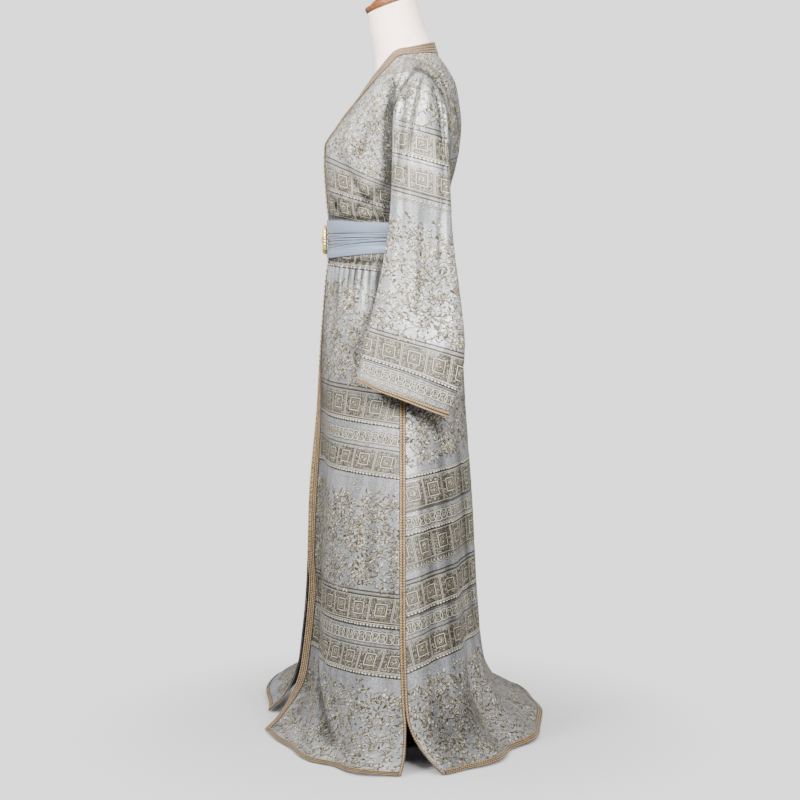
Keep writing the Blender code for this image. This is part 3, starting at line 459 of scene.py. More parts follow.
# Sleeve folds: turn at the start and the end, stations, depth, half width in degrees
sleeveFolds = {
    "front crease": (60, 20, 0.3, 3.2, -0.007, 14),
    "head ridge": (90, 62, 0.2, 4.2, 0.005, 14),
    "back crease": (118, 150, 0.3, 3.0, -0.007, 14),
    "elbow dent": (105, 118, 3.0, 6.5, -0.006, 20),
    "cuff wave": (70, 60, 4.5, 9.0, 0.005, 20),
    "under dent": (270, 285, 3.5, 9.0, 0.006, 26),
    "head pleat front": (104, 54, 0.12, 2.7, -0.0090, 4.2),
    "head pleat middle": (112, 92, 0.3, 2.4, 0.0040, 9),
    "head pleat back": (120, 156, 0.12, 2.5, -0.0090, 4.2),
    "fine crease 1": (70, 34, 0.2, 2.2, -0.0040, 6),
    "fine crease 4": (140, 172, 0.2, 3.0, -0.0060, 6),
    "fine crease 9": (54, 52, 3.0, 5.0, -0.0045, 7),
    "fine crease 10": (98, 92, 3.1, 5.6, -0.0050, 8),
    "fine crease 11": (129, 133, 3.3, 5.6, -0.0045, 7),
    "fine crease 5": (150, 128, 2.2, 4.6, -0.0030, 7),
    "fine crease 6": (40, 58, 3.4, 6.4, 0.0025, 9),
    "fine crease 7": (128, 112, 5.2, 7.8, 0.0030, 9),
    "fine crease 8": (30, 34, 5.0, 9.0, -0.0025, 9),
}
sleeveMiddleY, foldFlatness = 0.045, 0.3
sleeveShade = {"shallow": 0.0042, "deep": 0.0056, "seam": 1.1, "seamReach": 0.19}
# How the borders slope from the sleeve's front to its rear, the more towards the cuff
sleeveSlope = {"upper": 0.27, "more": 0.15, "from": 0.86, "over": 0.12, "middleY": 0.03}


def sleeveBumps(turn, station):
    # For each fold its depth, its end, the share of the way along it and a Gaussian across it.
    for top, low, start, end, depth, width in sleeveFolds.values():
        share = (station - start) / (end - start)
        off = signed(np.degrees(turn) - (top + (low - top) * share))
        yield depth, end, share, np.exp(-(off / width) ** 2) * ((share > 0) & (share < 1))


def sleevePoint(turn, station):
    # Ovals at the stations, joined by Catmull-Rom curves; folds move points away from the axis.
    turn, station = np.broadcast_arrays(np.asarray(turn, float), np.asarray(station, float))
    table = np.array(list(sleeveStations.values()))
    angle, height = armholePlace(turn)
    hole = bodyPoint(angle, height) + 0.0019 * bodyNormal(angle, height)

    def spine(index):
        row = table[np.clip(index - 1, 0, len(table) - 1)]
        front, rear, out = row[..., [0, 1, 2]], row[..., [0, 3, 4]], row[..., [5, 5, 6]] * [1, 0, 1]
        oval = ((front + rear) / 2 + (front - rear) / 2 * np.cos(turn)[..., None]
                + out * np.sin(turn)[..., None])
        return np.where((index <= 0)[..., None], hole, oval)

    last = len(table)
    index = np.minimum(station.astype(int), last - 1)
    t = (station - index)[..., None]
    before, start = spine(np.maximum(index - 1, 0)), spine(index)
    end, after = spine(index + 1), spine(np.minimum(index + 2, last))
    lead, trail = (end - before) / 2, (after - start) / 2
    point = (start * (1 + 2 * t) * (1 - t) ** 2 + lead * t * (1 - t) ** 2
             + end * t ** 2 * (3 - 2 * t) + trail * t ** 2 * (t - 1))
    axisX = smoothThrough(np.arange(last + 1.0), np.append(table[0, 0], table[:, 0]), station)
    away = unit(np.stack([point[..., 0] - axisX, foldFlatness * (point[..., 1] - sleeveMiddleY),
                          np.zeros_like(axisX)], -1))
    for depth, end, share, bump in sleeveBumps(turn, station):
        fade = np.minimum(4 * share, 3 * (1 - share)) if end <= last else 4 * share
        point = point + (depth * ease(fade) * bump)[..., None] * away
    return point


def sleevePaintedShade(turn, station):
    # Painted shade on a sleeve: its troughs by depth, and the shade of its seam.
    total = sleeveShade["seam"] * np.exp(-(station / sleeveShade["seamReach"]) ** 2)
    for depth, _, share, bump in sleeveBumps(turn, station):
        trough = np.clip((-depth - sleeveShade["shallow"]) / sleeveShade["deep"], 0, 1)
        total = total + trough * ease(4 * share) * ease(3 * (1 - share)) * bump
    return np.clip(total, 0, 1)


def sleeveCloth(side, columns=100, rows=116):
    # A sleeve as a grid round its turns, seam at the underarm, straight down its stations.
    # Round the head, flat places follow level cuts, so that figures don't stretch by the armhole.
    turn = np.radians(np.linspace(-90, 270, columns + 1))[None, :]
    station = (8 * np.linspace(0, 1, rows + 1) ** 1.05)[:, None]
    points = sleevePoint(turn, station)
    leap = np.diff(points, axis=1) ** 2
    u = running(np.sqrt(leap[..., 0] + leap[..., 1] + ease((station - 1) / 2) * leap[..., 2]), 1)
    u = u - u[:, columns // 2][:, None]
    facing = np.where(turn < 0, -1, np.where(turn > math.pi, 1, -np.cos(turn)))
    inward = sleevePoint(turn, 1.0 + 0 * turn)[..., 0] - points[..., 0]
    u = u + facing * np.maximum(inward, 0) * (station < 1)
    lower = ease((sleeveSlope["from"] - points[..., 2]) / sleeveSlope["over"])
    slope = sleeveSlope["upper"] + sleeveSlope["more"] * lower
    v = -points[..., 2] - slope * (points[..., 1] - sleeveSlope["middleY"])
    hollow = sleevePaintedShade(turn, station)
    if side < 0:
        points = points[:, ::-1] * np.array([-1, 1, 1])
        u, v, hollow = u[:, ::-1], v[:, ::-1], hollow[:, ::-1]
    return {"points": points, "u": u, "v": v, "hollow": hollow, "normals": normalsOf(points),
            "centre": (-v[:, columns // 2], v[:, columns // 2])}


def sampled(grid, r, c):
    # Bilinear value of a grid at fractional rows and columns.
    rows, cols = grid.shape[:2]
    r, c = np.clip(r, 0, rows - 1.000001), np.clip(c, 0, cols - 1.000001)
    i, j = r.astype(int), c.astype(int)
    a, b = r - i, c - j
    if grid.ndim == 3:
        a, b = a[..., None], b[..., None]
    return (grid[i, j] * (1 - a) * (1 - b) + grid[i, j + 1] * (1 - a) * b
            + grid[i + 1, j] * a * (1 - b) + grid[i + 1, j + 1] * a * b)


flatMiss = 0.0006


def stepped(cloth, u, v, r, c):
    # Newton steps from rows r and columns c towards flat places (u, v).
    rows, cols = cloth["u"].shape
    slopes = [np.gradient(cloth[name], axis=axis) for name in ("u", "v") for axis in (0, 1)]
    for _ in range(9):
        du, dv = u - sampled(cloth["u"], r, c), v - sampled(cloth["v"], r, c)
        ur, uc, vr, vc = (sampled(slope, r, c) for slope in slopes)
        scale = ur * vc - uc * vr
        scale = np.where(np.abs(scale) < 1e-12, 1e-12, scale)
        r = np.clip(r + np.clip((du * vc - uc * dv) / scale, -12, 12), -3, rows + 2)
        c = np.clip(c + np.clip((ur * dv - du * vr) / scale, -12, 12), -3, cols + 2)
    return r, c, np.hypot(u - sampled(cloth["u"], r, c), v - sampled(cloth["v"], r, c))


def placedOn(cloth, u, v):
    # The row and column of flat places; those missed start again at their nearest grid place.
    cols = cloth["u"].shape[1]
    middle = cols // 2
    order = np.argsort(cloth["v"][:, middle])
    r = np.interp(v, cloth["v"][order, middle], order.astype(float))
    first = sampled(cloth["u"], r, np.zeros_like(r))
    last = sampled(cloth["u"], r, np.full_like(r, cols - 1.0))
    r, c, missed = stepped(cloth, u, v, r, (u - first) / (last - first) * (cols - 1))
    again = np.flatnonzero((missed > flatMiss) & (v < cloth["v"][:, middle].min() + 0.25))
    if len(again):
        starts = np.meshgrid(np.arange(1, 60, 3), np.arange(1, cols, 3), indexing="ij")
        gridR, gridC = (start.ravel() for start in starts)
        gridU, gridV = cloth["u"][gridR, gridC], cloth["v"][gridR, gridC]
        for part in np.array_split(again, max(1, len(again) // 3000)):
            near = ((u[part, None] - gridU) ** 2 + (v[part, None] - gridV) ** 2).argmin(1)
            r[part], c[part], missed[part] = stepped(cloth, u[part], v[part], gridR[near], gridC[near])
    return r, c, missed


def fillMesh(name, points, faces):
    # Puts points and faces of one size into a new mesh.
    mesh = bpy.data.meshes.new(name)
    points = np.ascontiguousarray(points, np.float32).reshape(-1, 3)
    faces = np.ascontiguousarray(faces, np.int32)
    mesh.vertices.add(len(points))
    mesh.vertices.foreach_set("co", points.ravel())
    mesh.loops.add(faces.size)
    mesh.loops.foreach_set("vertex_index", faces.ravel())
    mesh.polygons.add(len(faces))
    mesh.polygons.foreach_set("loop_start", np.arange(0, faces.size, faces.shape[1], dtype=np.int32))
    mesh.update(calc_edges=True)
    mesh.shade_smooth()
    return mesh


pieces = {}


def linked(name, data):
    made = bpy.data.objects.new(name, data)
    bpy.context.scene.collection.objects.link(made)
    return made


def nodeName(name):
    # leftFront stands for the solid left_front.
    return "".join("_" + c.lower() if c.isupper() else c for c in name)


def addPiece(name, mesh, material, node=""):
    # A piece of the garment; it replaces the solid of its own name, another one, or with None nothing.
    made = pieces[name] = linked(name, mesh)
    mesh.materials.append(material)
    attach(made, "root")
    if node is not None:
        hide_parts(node or nodeName(name))


def giveWall(name, thickness):
    wall = pieces[name].modifiers.new("wall", "SOLIDIFY")
    wall.thickness, wall.offset = thickness, 0
    return wall


def giveUv(mesh, u, v):
    corners = np.empty(len(mesh.loops), np.int32)
    mesh.loops.foreach_get("vertex_index", corners)
    layer = mesh.uv_layers.new(name="flat")
    layer.data.foreach_set("uv", np.stack([u.ravel()[corners], v.ravel()[corners]], 1).ravel())


def giveValue(mesh, name, values):
    mesh.attributes.new(name, "FLOAT", "POINT").data.foreach_set(
        "value", np.ascontiguousarray(values, np.float32).ravel())


def gridFaces(rows, cols, wrap=False):
    # Quads of a grid whose columns run round the body and whose rows run down it.
    r, c = np.meshgrid(np.arange(rows - 1), np.arange(cols if wrap else cols - 1), indexing="ij")
    right = (c + 1) % cols if wrap else c + 1
    return np.stack([r * cols + c, (r + 1) * cols + c, (r + 1) * cols + right,
                     r * cols + right], -1).reshape(-1, 4)


def tubeMesh(name, loops, across, along):
    # Closed tube through loops (n, m, 3), its two ends capped; across and along are its flat places.
    n, m = loops.shape[:2]
    faces, ring = gridFaces(n, m, True)[:, [0, 3, 2, 1]], np.arange(m)
    points = np.concatenate([loops.reshape(-1, 3), loops[[0, -1]].mean(1)])
    first = np.stack([np.full(m, n * m), (ring + 1) % m, ring], 1)
    last = np.stack([np.full(m, n * m + 1), ring, (ring + 1) % m], 1) + [[0, (n - 1) * m, (n - 1) * m]]
    mesh = fillMesh(name, points, np.concatenate([faces[:, [0, 1, 2]], faces[:, [0, 2, 3]], first, last]))
    giveUv(mesh, np.append(np.tile(across, n), [0, 0]), np.append(np.repeat(along, m), [0, 0]))
    return mesh


def feed(socket, value):
    # Gives an input another node's output or a plain value.
    if isinstance(value, bpy.types.NodeSocket):
        socket.id_data.links.new(value, socket)
    else:
        socket.default_value = (*value, 1) if socket.type == "RGBA" else value


def node(tree, kind, inputs=(), out=0, **settings):
    # A new node with its settings and inputs, seen as one of its outputs.
    made = tree.nodes.new("ShaderNode" + kind)
    for key, value in settings.items():
        setattr(made, key, value)
    for key, value in dict(inputs).items():
        feed(made.inputs[key], value)
    return made.outputs[out]


def finish(name, colour, roughness, **sockets):
    made = bpy.data.materials.new(name)
    made.use_nodes = True
    made.diffuse_color = (*colour, 1)
    shader = made.node_tree.nodes["Principled BSDF"]
    for key, value in {"Base Color": colour, "Roughness": roughness, **sockets}.items():
        feed(shader.inputs[key.replace("_", " ")], value)
    return made, made.node_tree, shader.inputs


def ramp(tree, factor, *stops, between="LINEAR"):
    # Colours by place along a factor.
    made = tree.nodes.new("ShaderNodeValToRGB")
    band = made.color_ramp
    band.interpolation = between
    while len(band.elements) < len(stops):
        band.elements.new(0.5)
    for element, (place, colour) in zip(band.elements, stops):
        element.position, element.color = place, (*colour, 1)
    feed(made.inputs[0], factor)
    return made.outputs[0]


def mixed(tree, kind, factor, a, b):
    return node(tree, "Mix", {0: factor, 6: a, 7: b}, 2, data_type="RGBA", blend_type=kind)


def maths(tree, operation, a, b=0.0):
    return node(tree, "Math", {0: a, 1: b}, operation=operation)


def spread(tree, value, **ends):
    # Maps a value between ends such as fromMin and toMax.
    names = {"fromMin": "From Min", "fromMax": "From Max", "toMin": "To Min", "toMax": "To Max"}
    return node(tree, "MapRange", {"Value": value, **{names[key]: end for key, end in ends.items()}})


def held(tree, name):
    return node(tree, "Attribute", out="Fac", attribute_name=name)


def flatPlace(tree):
    return node(tree, "UVMap", uv_map="flat")


def objectPlace(tree):
    return node(tree, "TexCoord", out="Object")


def stretched(tree, place, *scale):
    return node(tree, "Mapping", {"Vector": place, "Scale": scale})


def noise(tree, place, scale, detail, **more):
    return node(tree, "TexNoise", {"Vector": place, "Scale": scale, "Detail": detail, **more})


def threads(tree, place, scales, distortion, detail):
    # Two crossed rows of waves, added up.
    waves = [node(tree, "TexWave", {"Vector": place, "Scale": scale, "Distortion": distortion,
                                    "Detail": detail}, "Fac", bands_direction=way)
             for scale, way in zip(scales, "XY")]
    return maths(tree, "ADD", *waves)


def raised(tree, height, strength, distance):
    return node(tree, "Bump", {"Height": height, "Strength": strength, "Distance": distance})


def darkened(tree, colour, depth):
    # Paints shade into a colour: multiplies it down where the painted shade attribute is high.
    shade = ramp(tree, held(tree, "hollow"), (0.0, white), (1.0, (depth, depth, 0.96 * depth)))
    return mixed(tree, "MULTIPLY", 1.0, colour, shade)


black, white = (0, 0, 0), (1, 1, 1)
groundLooks = {"plain": (0.480, 0.486, 0.502), "shade": (0.205, 0.210, 0.220), "fleck": (0.29, 0.28, 0.245),
               "border": (0.138, 0.135, 0.122), "weave": (281.25, 450.0), "reach": 1.5}


def groundFinish(name, bands):
    # Silver satin with long soft streaks of painted sheen and shade over a cloudy tone; darker, flecked bands
    # between the given flat heights. Shade is painted in where the painted shade attribute is high.
    looks, reach = groundLooks, groundLooks["reach"]
    made, tree, inputs = finish(name, looks["plain"], 0.36, Metallic=0.35)
    place, flat = objectPlace(tree), flatPlace(tree)
    stops = [(0.0, black)]
    for top, bottom in sorted(bands):
        stops += [((top + reach) / (2 * reach), white), ((bottom + reach) / (2 * reach), black)]
    down = spread(tree, node(tree, "SeparateXYZ", {0: flat}, "Y"), fromMin=-reach, fromMax=reach)
    border = ramp(tree, down, *stops, between="CONSTANT")
    streak = noise(tree, stretched(tree, flat, 55.0, 5.0, 1.0), 1.0, 3.0, Roughness=0.6)
    cloud = noise(tree, place, 7.0, 3.0, Roughness=0.55)
    fleck = node(tree, "TexVoronoi", {"Vector": flat, "Scale": 240.0, "Randomness": 0.7})
    flecks = ramp(tree, fleck, (0.18, looks["fleck"]), (0.5, looks["border"]))
    # Streaks of painted satin sheen and shade, mixed with a cloudy tone
    toneAndSatinSheen = mixed(tree, "MIX", 0.55, cloud, ramp(tree, streak, (0.36, black), (0.64, white)))
    plain = mixed(tree, "MIX", toneAndSatinSheen, looks["plain"], looks["shade"])
    mottle = ramp(tree, noise(tree, flat, 210.0, 3.0, Roughness=0.65), (0.36, (0.62, 0.62, 0.61)),
                  (0.60, (1.14, 1.14, 1.14)))
    whole = mixed(tree, "MULTIPLY", 1.0, mixed(tree, "MIX", border, plain, flecks), mottle)
    feed(inputs["Base Color"], darkened(tree, whole, 0.13))
    weave = threads(tree, flat, looks["weave"], 0.4, 1.0)
    feed(inputs["Normal"], raised(tree, weave, 0.12, 0.0002))
    feed(inputs["Roughness"], spread(tree, cloud, toMin=0.30, toMax=0.46))
    # Painted shade also takes away the specular gloss
    feed(inputs["Specular IOR Level"], spread(tree, held(tree, "hollow"), toMin=0.6, toMax=0.05))
    return made


def figureFinish():
    # Woven figures: dark at the rim, partly a woven outline and partly painted shadow on the side away from
    # the light; silk from tan to cream inside it; painted shade where the painted shade attribute is high.
    made, tree, inputs = finish("brocadeFigure", (0.5, 0.45, 0.34), 0.5, Specular_IOR_Level=0.28)
    silk = ramp(tree, held(tree, "tint"), (0.0, (0.036, 0.032, 0.023)), (0.3, (0.195, 0.148, 0.085)),
                (0.6, (0.43, 0.39, 0.295)), (1.0, (0.74, 0.705, 0.60)))
    edge = ramp(tree, held(tree, "rim"), (0.33, black), (0.47, white))
    feed(inputs["Base Color"], darkened(tree, mixed(tree, "MIX", edge, (0.048, 0.041, 0.027), silk), 0.18))
    feed(inputs["Normal"], raised(tree, noise(tree, objectPlace(tree), 1500.0, 1.0), 0.25, 0.0002))
    return made


def insideFinish():
    made, tree, inputs = finish("clothInside", (0.022, 0.022, 0.024), 0.8)
    feed(inputs["Base Color"], ramp(tree, noise(tree, objectPlace(tree), 300.0, 2.0),
                                    (0.3, (0.014, 0.014, 0.016)), (0.7, (0.040, 0.040, 0.044))))
    return made


def cordFinish(name, colour, dark, pitch):
    # Twisted cord: slanting strands across each cord, painted shade in the grooves between the cords, and
    # painted shade on the same cord up the neck.
    made, tree, inputs = finish(name, colour, 0.5, Specular_IOR_Level=0.45, Sheen_Weight=0.25,
                                Sheen_Roughness=0.4)
    flat, place = flatPlace(tree), objectPlace(tree)
    lane, run = (node(tree, "SeparateXYZ", {0: flat}, axis) for axis in "XY")
    turned, slant = maths(tree, "MULTIPLY", run, 2 * math.pi / pitch), maths(tree, "MULTIPLY", lane, 2.6)
    strand = maths(tree, "SINE", maths(tree, "ADD", turned, slant))
    between = tuple(0.68 * a + 0.32 * b for a, b in zip(dark, colour))
    base = mixed(tree, "MIX", spread(tree, strand, fromMin=-1.0, fromMax=0.4), between, colour)
    tone = ramp(tree, noise(tree, place, 60.0, 3.0), (0.3, (0.78, 0.77, 0.75)), (0.7, (1.12, 1.1, 1.05)))
    base = mixed(tree, "MULTIPLY", 1.0, base, tone)
    # Painted shade on the cord above the bust, darker towards the neck
    high = spread(tree, node(tree, "SeparateXYZ", {0: place}, "Z"), fromMin=1.24, fromMax=1.40)
    base = mixed(tree, "MIX", high, base, mixed(tree, "MULTIPLY", 1.0, base, (0.56, 0.54, 0.48)))
    # Painted shade in the grooves between the cords, where the crown share is low
    crown = ramp(tree, held(tree, "rim"), (0.20, black), (0.74, white))
    feed(inputs["Base Color"], mixed(tree, "MIX", crown, dark, base))
    feed(inputs["Normal"], raised(tree, strand, 0.5, 0.0006))
    return made


def beltFinish():
    # Pale satin with a fine lengthwise thread, painted with shade in the pleats' dents.
    made, tree, inputs = finish("beltSatin", (0.50, 0.56, 0.64), 0.34, Specular_IOR_Level=0.55,
                                Sheen_Weight=0.2, Sheen_Roughness=0.35)
    thread = noise(tree, stretched(tree, flatPlace(tree), 30.0, 1400.0, 1.0), 1.0, 3.0)
    shades = ramp(tree, thread, (0.25, (0.140, 0.178, 0.238)), (0.75, (0.190, 0.233, 0.302)))
    feed(inputs["Base Color"], darkened(tree, shades, 0.10))
    feed(inputs["Normal"], raised(tree, thread, 0.12, 0.0003))
    return made


def goldFinish():
    # Cast gold-coloured metal, darker where the tarnish noise runs low.
    made, tree, inputs = finish("buckleGold", (0.90, 0.68, 0.26), 0.30, Metallic=0.75)
    tarnish = noise(tree, objectPlace(tree), 180.0, 4.0)
    feed(inputs["Base Color"], ramp(tree, tarnish, (0.32, (0.46, 0.30, 0.08)), (0.55, (0.98, 0.76, 0.29))))
    feed(inputs["Roughness"], spread(tree, tarnish, toMin=0.40, toMax=0.18))
    return made


def linenFinish():
    # Cream linen jersey: two crossed fine threads and a faint mottling.
    made, tree, inputs = finish("formLinen", (0.78, 0.73, 0.67), 0.88, Sheen_Weight=0.25)
    jersey = threads(tree, flatPlace(tree), (190.0, 190.0), 1.2, 2.0)
    feed(inputs["Normal"], raised(tree, jersey, 0.2, 0.0004))
    feed(inputs["Base Color"], ramp(tree, noise(tree, objectPlace(tree), 45.0, 6.0, Roughness=0.7),
                                    (0.35, (1.0, 0.75, 0.62)), (0.65, (1.0, 0.83, 0.715))))
    return made


def woodFinish():
    # Varnished turned wood: stretched noise for the grain under a clear coat.
    made, tree, inputs = finish("turnedWood", (0.36, 0.17, 0.06), 0.4, Coat_Weight=0.12, Coat_Roughness=0.2,
                                Specular_IOR_Level=0.3)
    grain = noise(tree, stretched(tree, objectPlace(tree), 14.0, 60.0, 60.0), 1.0, 6.0, Roughness=0.65,
                  Distortion=0.6)
    feed(inputs["Base Color"], ramp(tree, grain, (0.3, (0.036, 0.013, 0.004)), (0.5, (0.130, 0.047, 0.011)),
                                    (0.7, (0.25, 0.098, 0.024))))
    feed(inputs["Normal"], raised(tree, grain, 0.1, 0.0005))
    return made


figure, inside = figureFinish(), insideFinish()
tanCord = cordFinish("tanGoldCord", (0.455, 0.305, 0.150), (0.045, 0.030, 0.016), 0.0056)
knotThread = cordFinish("knotThread", (0.46, 0.31, 0.13), (0.07, 0.045, 0.02), 0.0030)
beltSatin, buckleGold, formLinen, turnedWood = beltFinish(), goldFinish(), linenFinish(), woodFinish()
print("finishes made")

# Woven figures, drawn on the flat cloth in metres and laid on its grid
leafAlong = np.array([0, 0.26, 0.74, 1, 0.74, 0.26, 0.48])
leafAcross = np.array([0, 0.48, 0.42, 0, -0.42, -0.48, 0])
leafFaces = np.array([(6, k, (k + 1) % 6) for k in range(6)])
figureRise = {"over": 0.00025, "leaf": 0.00035, "ribbon": 0.00025}


def newPattern(cloth, seed):
    return {"cloth": cloth, "uv": [], "rim": [], "tint": [], "lift": [], "faces": [], "count": 0,
            "rng": np.random.default_rng(seed)}


def addShapes(pattern, points, rim, tint, faces, dome):
    # points (n, m, 2) are n like shapes; rim is 0 where dark and 1 where silk; dome raises them.
    n, m = points.shape[:2]
    if not n:
        return
    start = pattern["count"]
    pattern["uv"].append(points.reshape(-1, 2))
    pattern["rim"].append(np.broadcast_to(rim, (n, m)).ravel())
    pattern["tint"].append(np.repeat(np.broadcast_to(tint, n), m))
    pattern["lift"].append(np.tile(dome, n))
    pattern["faces"].append((faces[None] + (start + m * np.arange(n))[:, None, None]).reshape(-1, 3))
    pattern["count"] = start + n * m


def silkTints(rng, n):
    # Cream, gold and dark olive threads.
    return np.where(rng.random(n) < 0.42, rng.uniform(0.0, 0.36, n), rng.uniform(0.45, 1.0, n))


def toward(turn):
    # Unit arrows on the flat cloth.
    return np.stack([np.cos(turn), np.sin(turn)], -1)


def atHeight(u, v):
    # Places along the cloth at one flat height.
    return np.stack([u, np.full_like(u, v)], -1)


def counted(low, high, pitch):
    # The whole numbers of pitches between two places.
    return np.arange(math.ceil(low / pitch), math.floor(high / pitch) + 1)


def litRim(shape):
    # Dark on the side away from the upper left, as a raised thread's shadow is.
    away = shape[:, :6] - shape[:, 6:]
    lit = -(0.6 * away[..., 0] + 0.8 * away[..., 1]) / np.maximum(np.hypot(away[..., 0], away[..., 1]), 1e-9)
    return np.concatenate([np.clip(0.24 + 0.55 * lit, 0, 1), np.full((len(shape), 1), 0.74)], 1)


def leaves(pattern, base, aim, length, width, bend=0.0, tint=0.6):
    # Almond shapes from their base along aim; bend moves the tip sideways as the square.
    base = np.asarray(base, float).reshape(-1, 2)
    aim, length, width, bend = (np.broadcast_to(x, len(base))[:, None] for x in (aim, length, width, bend))
    along = leafAlong * length
    across = leafAcross * width + bend * length * leafAlong ** 2
    x = base[:, :1] + along * np.cos(aim) - across * np.sin(aim)
    y = base[:, 1:] + along * np.sin(aim) + across * np.cos(aim)
    shape = np.stack([x, y], -1)
    addShapes(pattern, shape, litRim(shape), tint, leafFaces, np.append(np.zeros(6), figureRise["leaf"]))


def ribbons(pattern, paths, width, tint=0.6, rims=(-0.5, 1.0, -0.5)):
    # Bands of even width along paths (n, m, 2), with a middle row of points.
    n, m = paths.shape[:2]
    if not n:
        return
    along = unit(np.gradient(paths, axis=1))
    side = np.stack([-along[..., 1], along[..., 0]], -1)
    # Uneven rims are turned so the darker one lies lower on the cloth: painted shade under the band
    side = np.where(side[..., 1:] > 0, -side, side) if rims[0] != rims[2] else side
    half = np.broadcast_to(width, n)[:, None, None] / 2
    shape = np.stack([paths - half * side, paths, paths + half * side], 2).reshape(n, 3 * m, 2)
    k = 3 * np.arange(m - 1)
    faces = np.concatenate([np.stack([k + a, k + b, k + c], 1) for a, b, c in
                            ((0, 3, 4), (0, 4, 1), (1, 4, 5), (1, 5, 2))])
    addShapes(pattern, shape, np.tile(rims, m), tint, faces, np.tile([0.0, figureRise["ribbon"], 0.0], m))


def circle(centre, radius, steps):
    turn = np.linspace(0, 2 * math.pi, steps + 1)
    return centre[:, None] + radius[:, None, None] * toward(turn)


def stems(pattern, paths):
    # Bands painted with shade on their lower side, as under a raised stem; the upper side shows the silk.
    ribbons(pattern, paths, vineShape["stem"], 0.55, (0.08, 0.42, 0.9))


def across(pattern, v, low, high, width, tint):
    # A line across the cloth at one flat height.
    ribbons(pattern, atHeight(np.arange(low, high, 0.007), v)[None], width, tint)


def flower(pattern, centre, petals, start, stray, out, size, width, bend, tint):
    # Petals in even turns round each centre; size and tint are asked for petal by petal.
    for k in range(petals):
        turn = k * 2 * math.pi / petals + start + pattern["rng"].uniform(-stray, stray, len(centre))
        leaves(pattern, centre + out * toward(turn), turn, size(), width, bend, tint())


pearlShape = {"pitch": 0.0078, "stray": 0.0006, "lean": (0.1, 0.35), "length": 0.0074, "width": 0.0048}


def pearls(pattern, v, low, high):
    # A thin light line, a row of bright slanting beads and a dark line under them.
    rng, shape = pattern["rng"], pearlShape
    across(pattern, v - 0.0036, low, high, 0.0028, 0.85)
    across(pattern, v + 0.0024, low, high, 0.0038, -1)
    u = np.arange(low, high, shape["pitch"])
    u = u + rng.uniform(-shape["stray"], shape["stray"], len(u))
    lean = rng.uniform(*shape["lean"], len(u))
    leaves(pattern, atHeight(u, v), lean, shape["length"], shape["width"], 0.0, 0.9)


def squareRing(centre, half, count, phase=0.0):
    # Even places along squares round each centre, with the way each place faces.
    t = (np.arange(count) + phase) * 4 / count
    edge, along = t.astype(int) % 4, 2 * (t % 1) - 1
    corner = np.array([(1, -1), (1, 1), (-1, 1), (-1, -1)], float)[edge]
    step = np.array([(0, 1), (-1, 0), (0, -1), (1, 0)], float)[edge]
    place = corner + step * (along + 1)[:, None]
    return centre[:, None] + half * place, edge * quarter


squareShape = {"pitch": 0.052, "bars": (-0.5, -0.445), "barWidth": 0.0034, "inset": 0.001, "shift": 0.03,
               "leafRings": ((0.84, 30, 0.0064), (0.66, 24, 0.0058)), "leafSlim": 0.44,
               "frame": 0.50, "frameWidth": 0.0042, "circle": 0.34, "circleWidth": 0.0036, "petal": 0.26}


def squaresRow(pattern, top, low, uLow, uHigh):
    # Framed squares: a border of small curled leaves, an uneven light square and a round flower.
    rng, shape, pitch = pattern["rng"], squareShape, squareShape["pitch"]
    u = counted(uLow, uHigh, pitch) * pitch
    n = len(u)
    half = min(low - top, pitch) / 2
    for place in shape["bars"]:
        edge = np.stack([(u + place * pitch)[:, None] + rng.uniform(-0.0003, 0.0003, (n, 9)),
                         np.linspace(top + shape["inset"], low - shape["inset"], 9) + np.zeros((n, 1))], -1)
        ribbons(pattern, edge, shape["barWidth"], 0.74)
    centre = atHeight(u, (top + low) / 2) + [shape["shift"] * pitch, 0]
    for share, count, length in shape["leafRings"]:
        places, facing = squareRing(centre, share * half, count, 0.5)
        for k in range(count):
            aim = facing[k] + rng.uniform(-0.9, 0.9, n) + (quarter if k % 2 else 0)
            size = length * rng.uniform(0.8, 1.15, n)
            base = places[:, k] - 0.5 * size[:, None] * toward(aim)
            leaves(pattern, base, aim, size, shape["leafSlim"] * size, rng.uniform(-0.5, 0.5, n),
                   silkTints(rng, n) * 0.72)
    corners, wobble = squareRing(centre, shape["frame"] * half, 24)[0], rng.uniform(0.975, 1.025, (n, 24, 1))
    corners, wobble = (np.concatenate([ring, ring[:, :1]], 1) for ring in (corners, wobble))
    ribbons(pattern, centre[:, None] + (corners - centre[:, None]) * wobble, shape["frameWidth"], 0.78)
    ribbons(pattern, circle(centre, shape["circle"] * half + 0 * u, 12), shape["circleWidth"], 0.45)
    flower(pattern, centre, 7, 0, 0.15, 0.0012, lambda: shape["petal"] * half, 0.0040, 0.2,
           lambda: rng.uniform(0.25, 0.75, n))


ringShape = {"radius": 0.0108, "pitch": 0.0152, "small": 0.92, "width": 0.0056}


def ringChain(pattern, v, low, high):
    # Linked rings that lap over each other, each with a small flower of five petals.
    radius, pitch = ringShape["radius"], ringShape["pitch"]
    k = counted(low, high, pitch)
    centre = atHeight(k * pitch, v)
    ribbons(pattern, circle(centre, np.where(k % 3 == 0, ringShape["small"], 1.0) * radius, 16),
            ringShape["width"], 0.70)
    flower(pattern, centre, 5, 0.3, 0.2, 0.0012, lambda: 0.0052, 0.0034, 0.2,
           lambda: silkTints(pattern["rng"], len(k)) * 0.8)
    for sign in (-1, 1):
        between = centre[:-1] + [pitch / 2, sign * 0.72 * radius]
        leaves(pattern, between, sign * quarter, 0.0060, 0.0036, 0.0, 0.6)


scallopShape = {"pitch": 0.016, "drop": 0.011, "width": 0.0042}


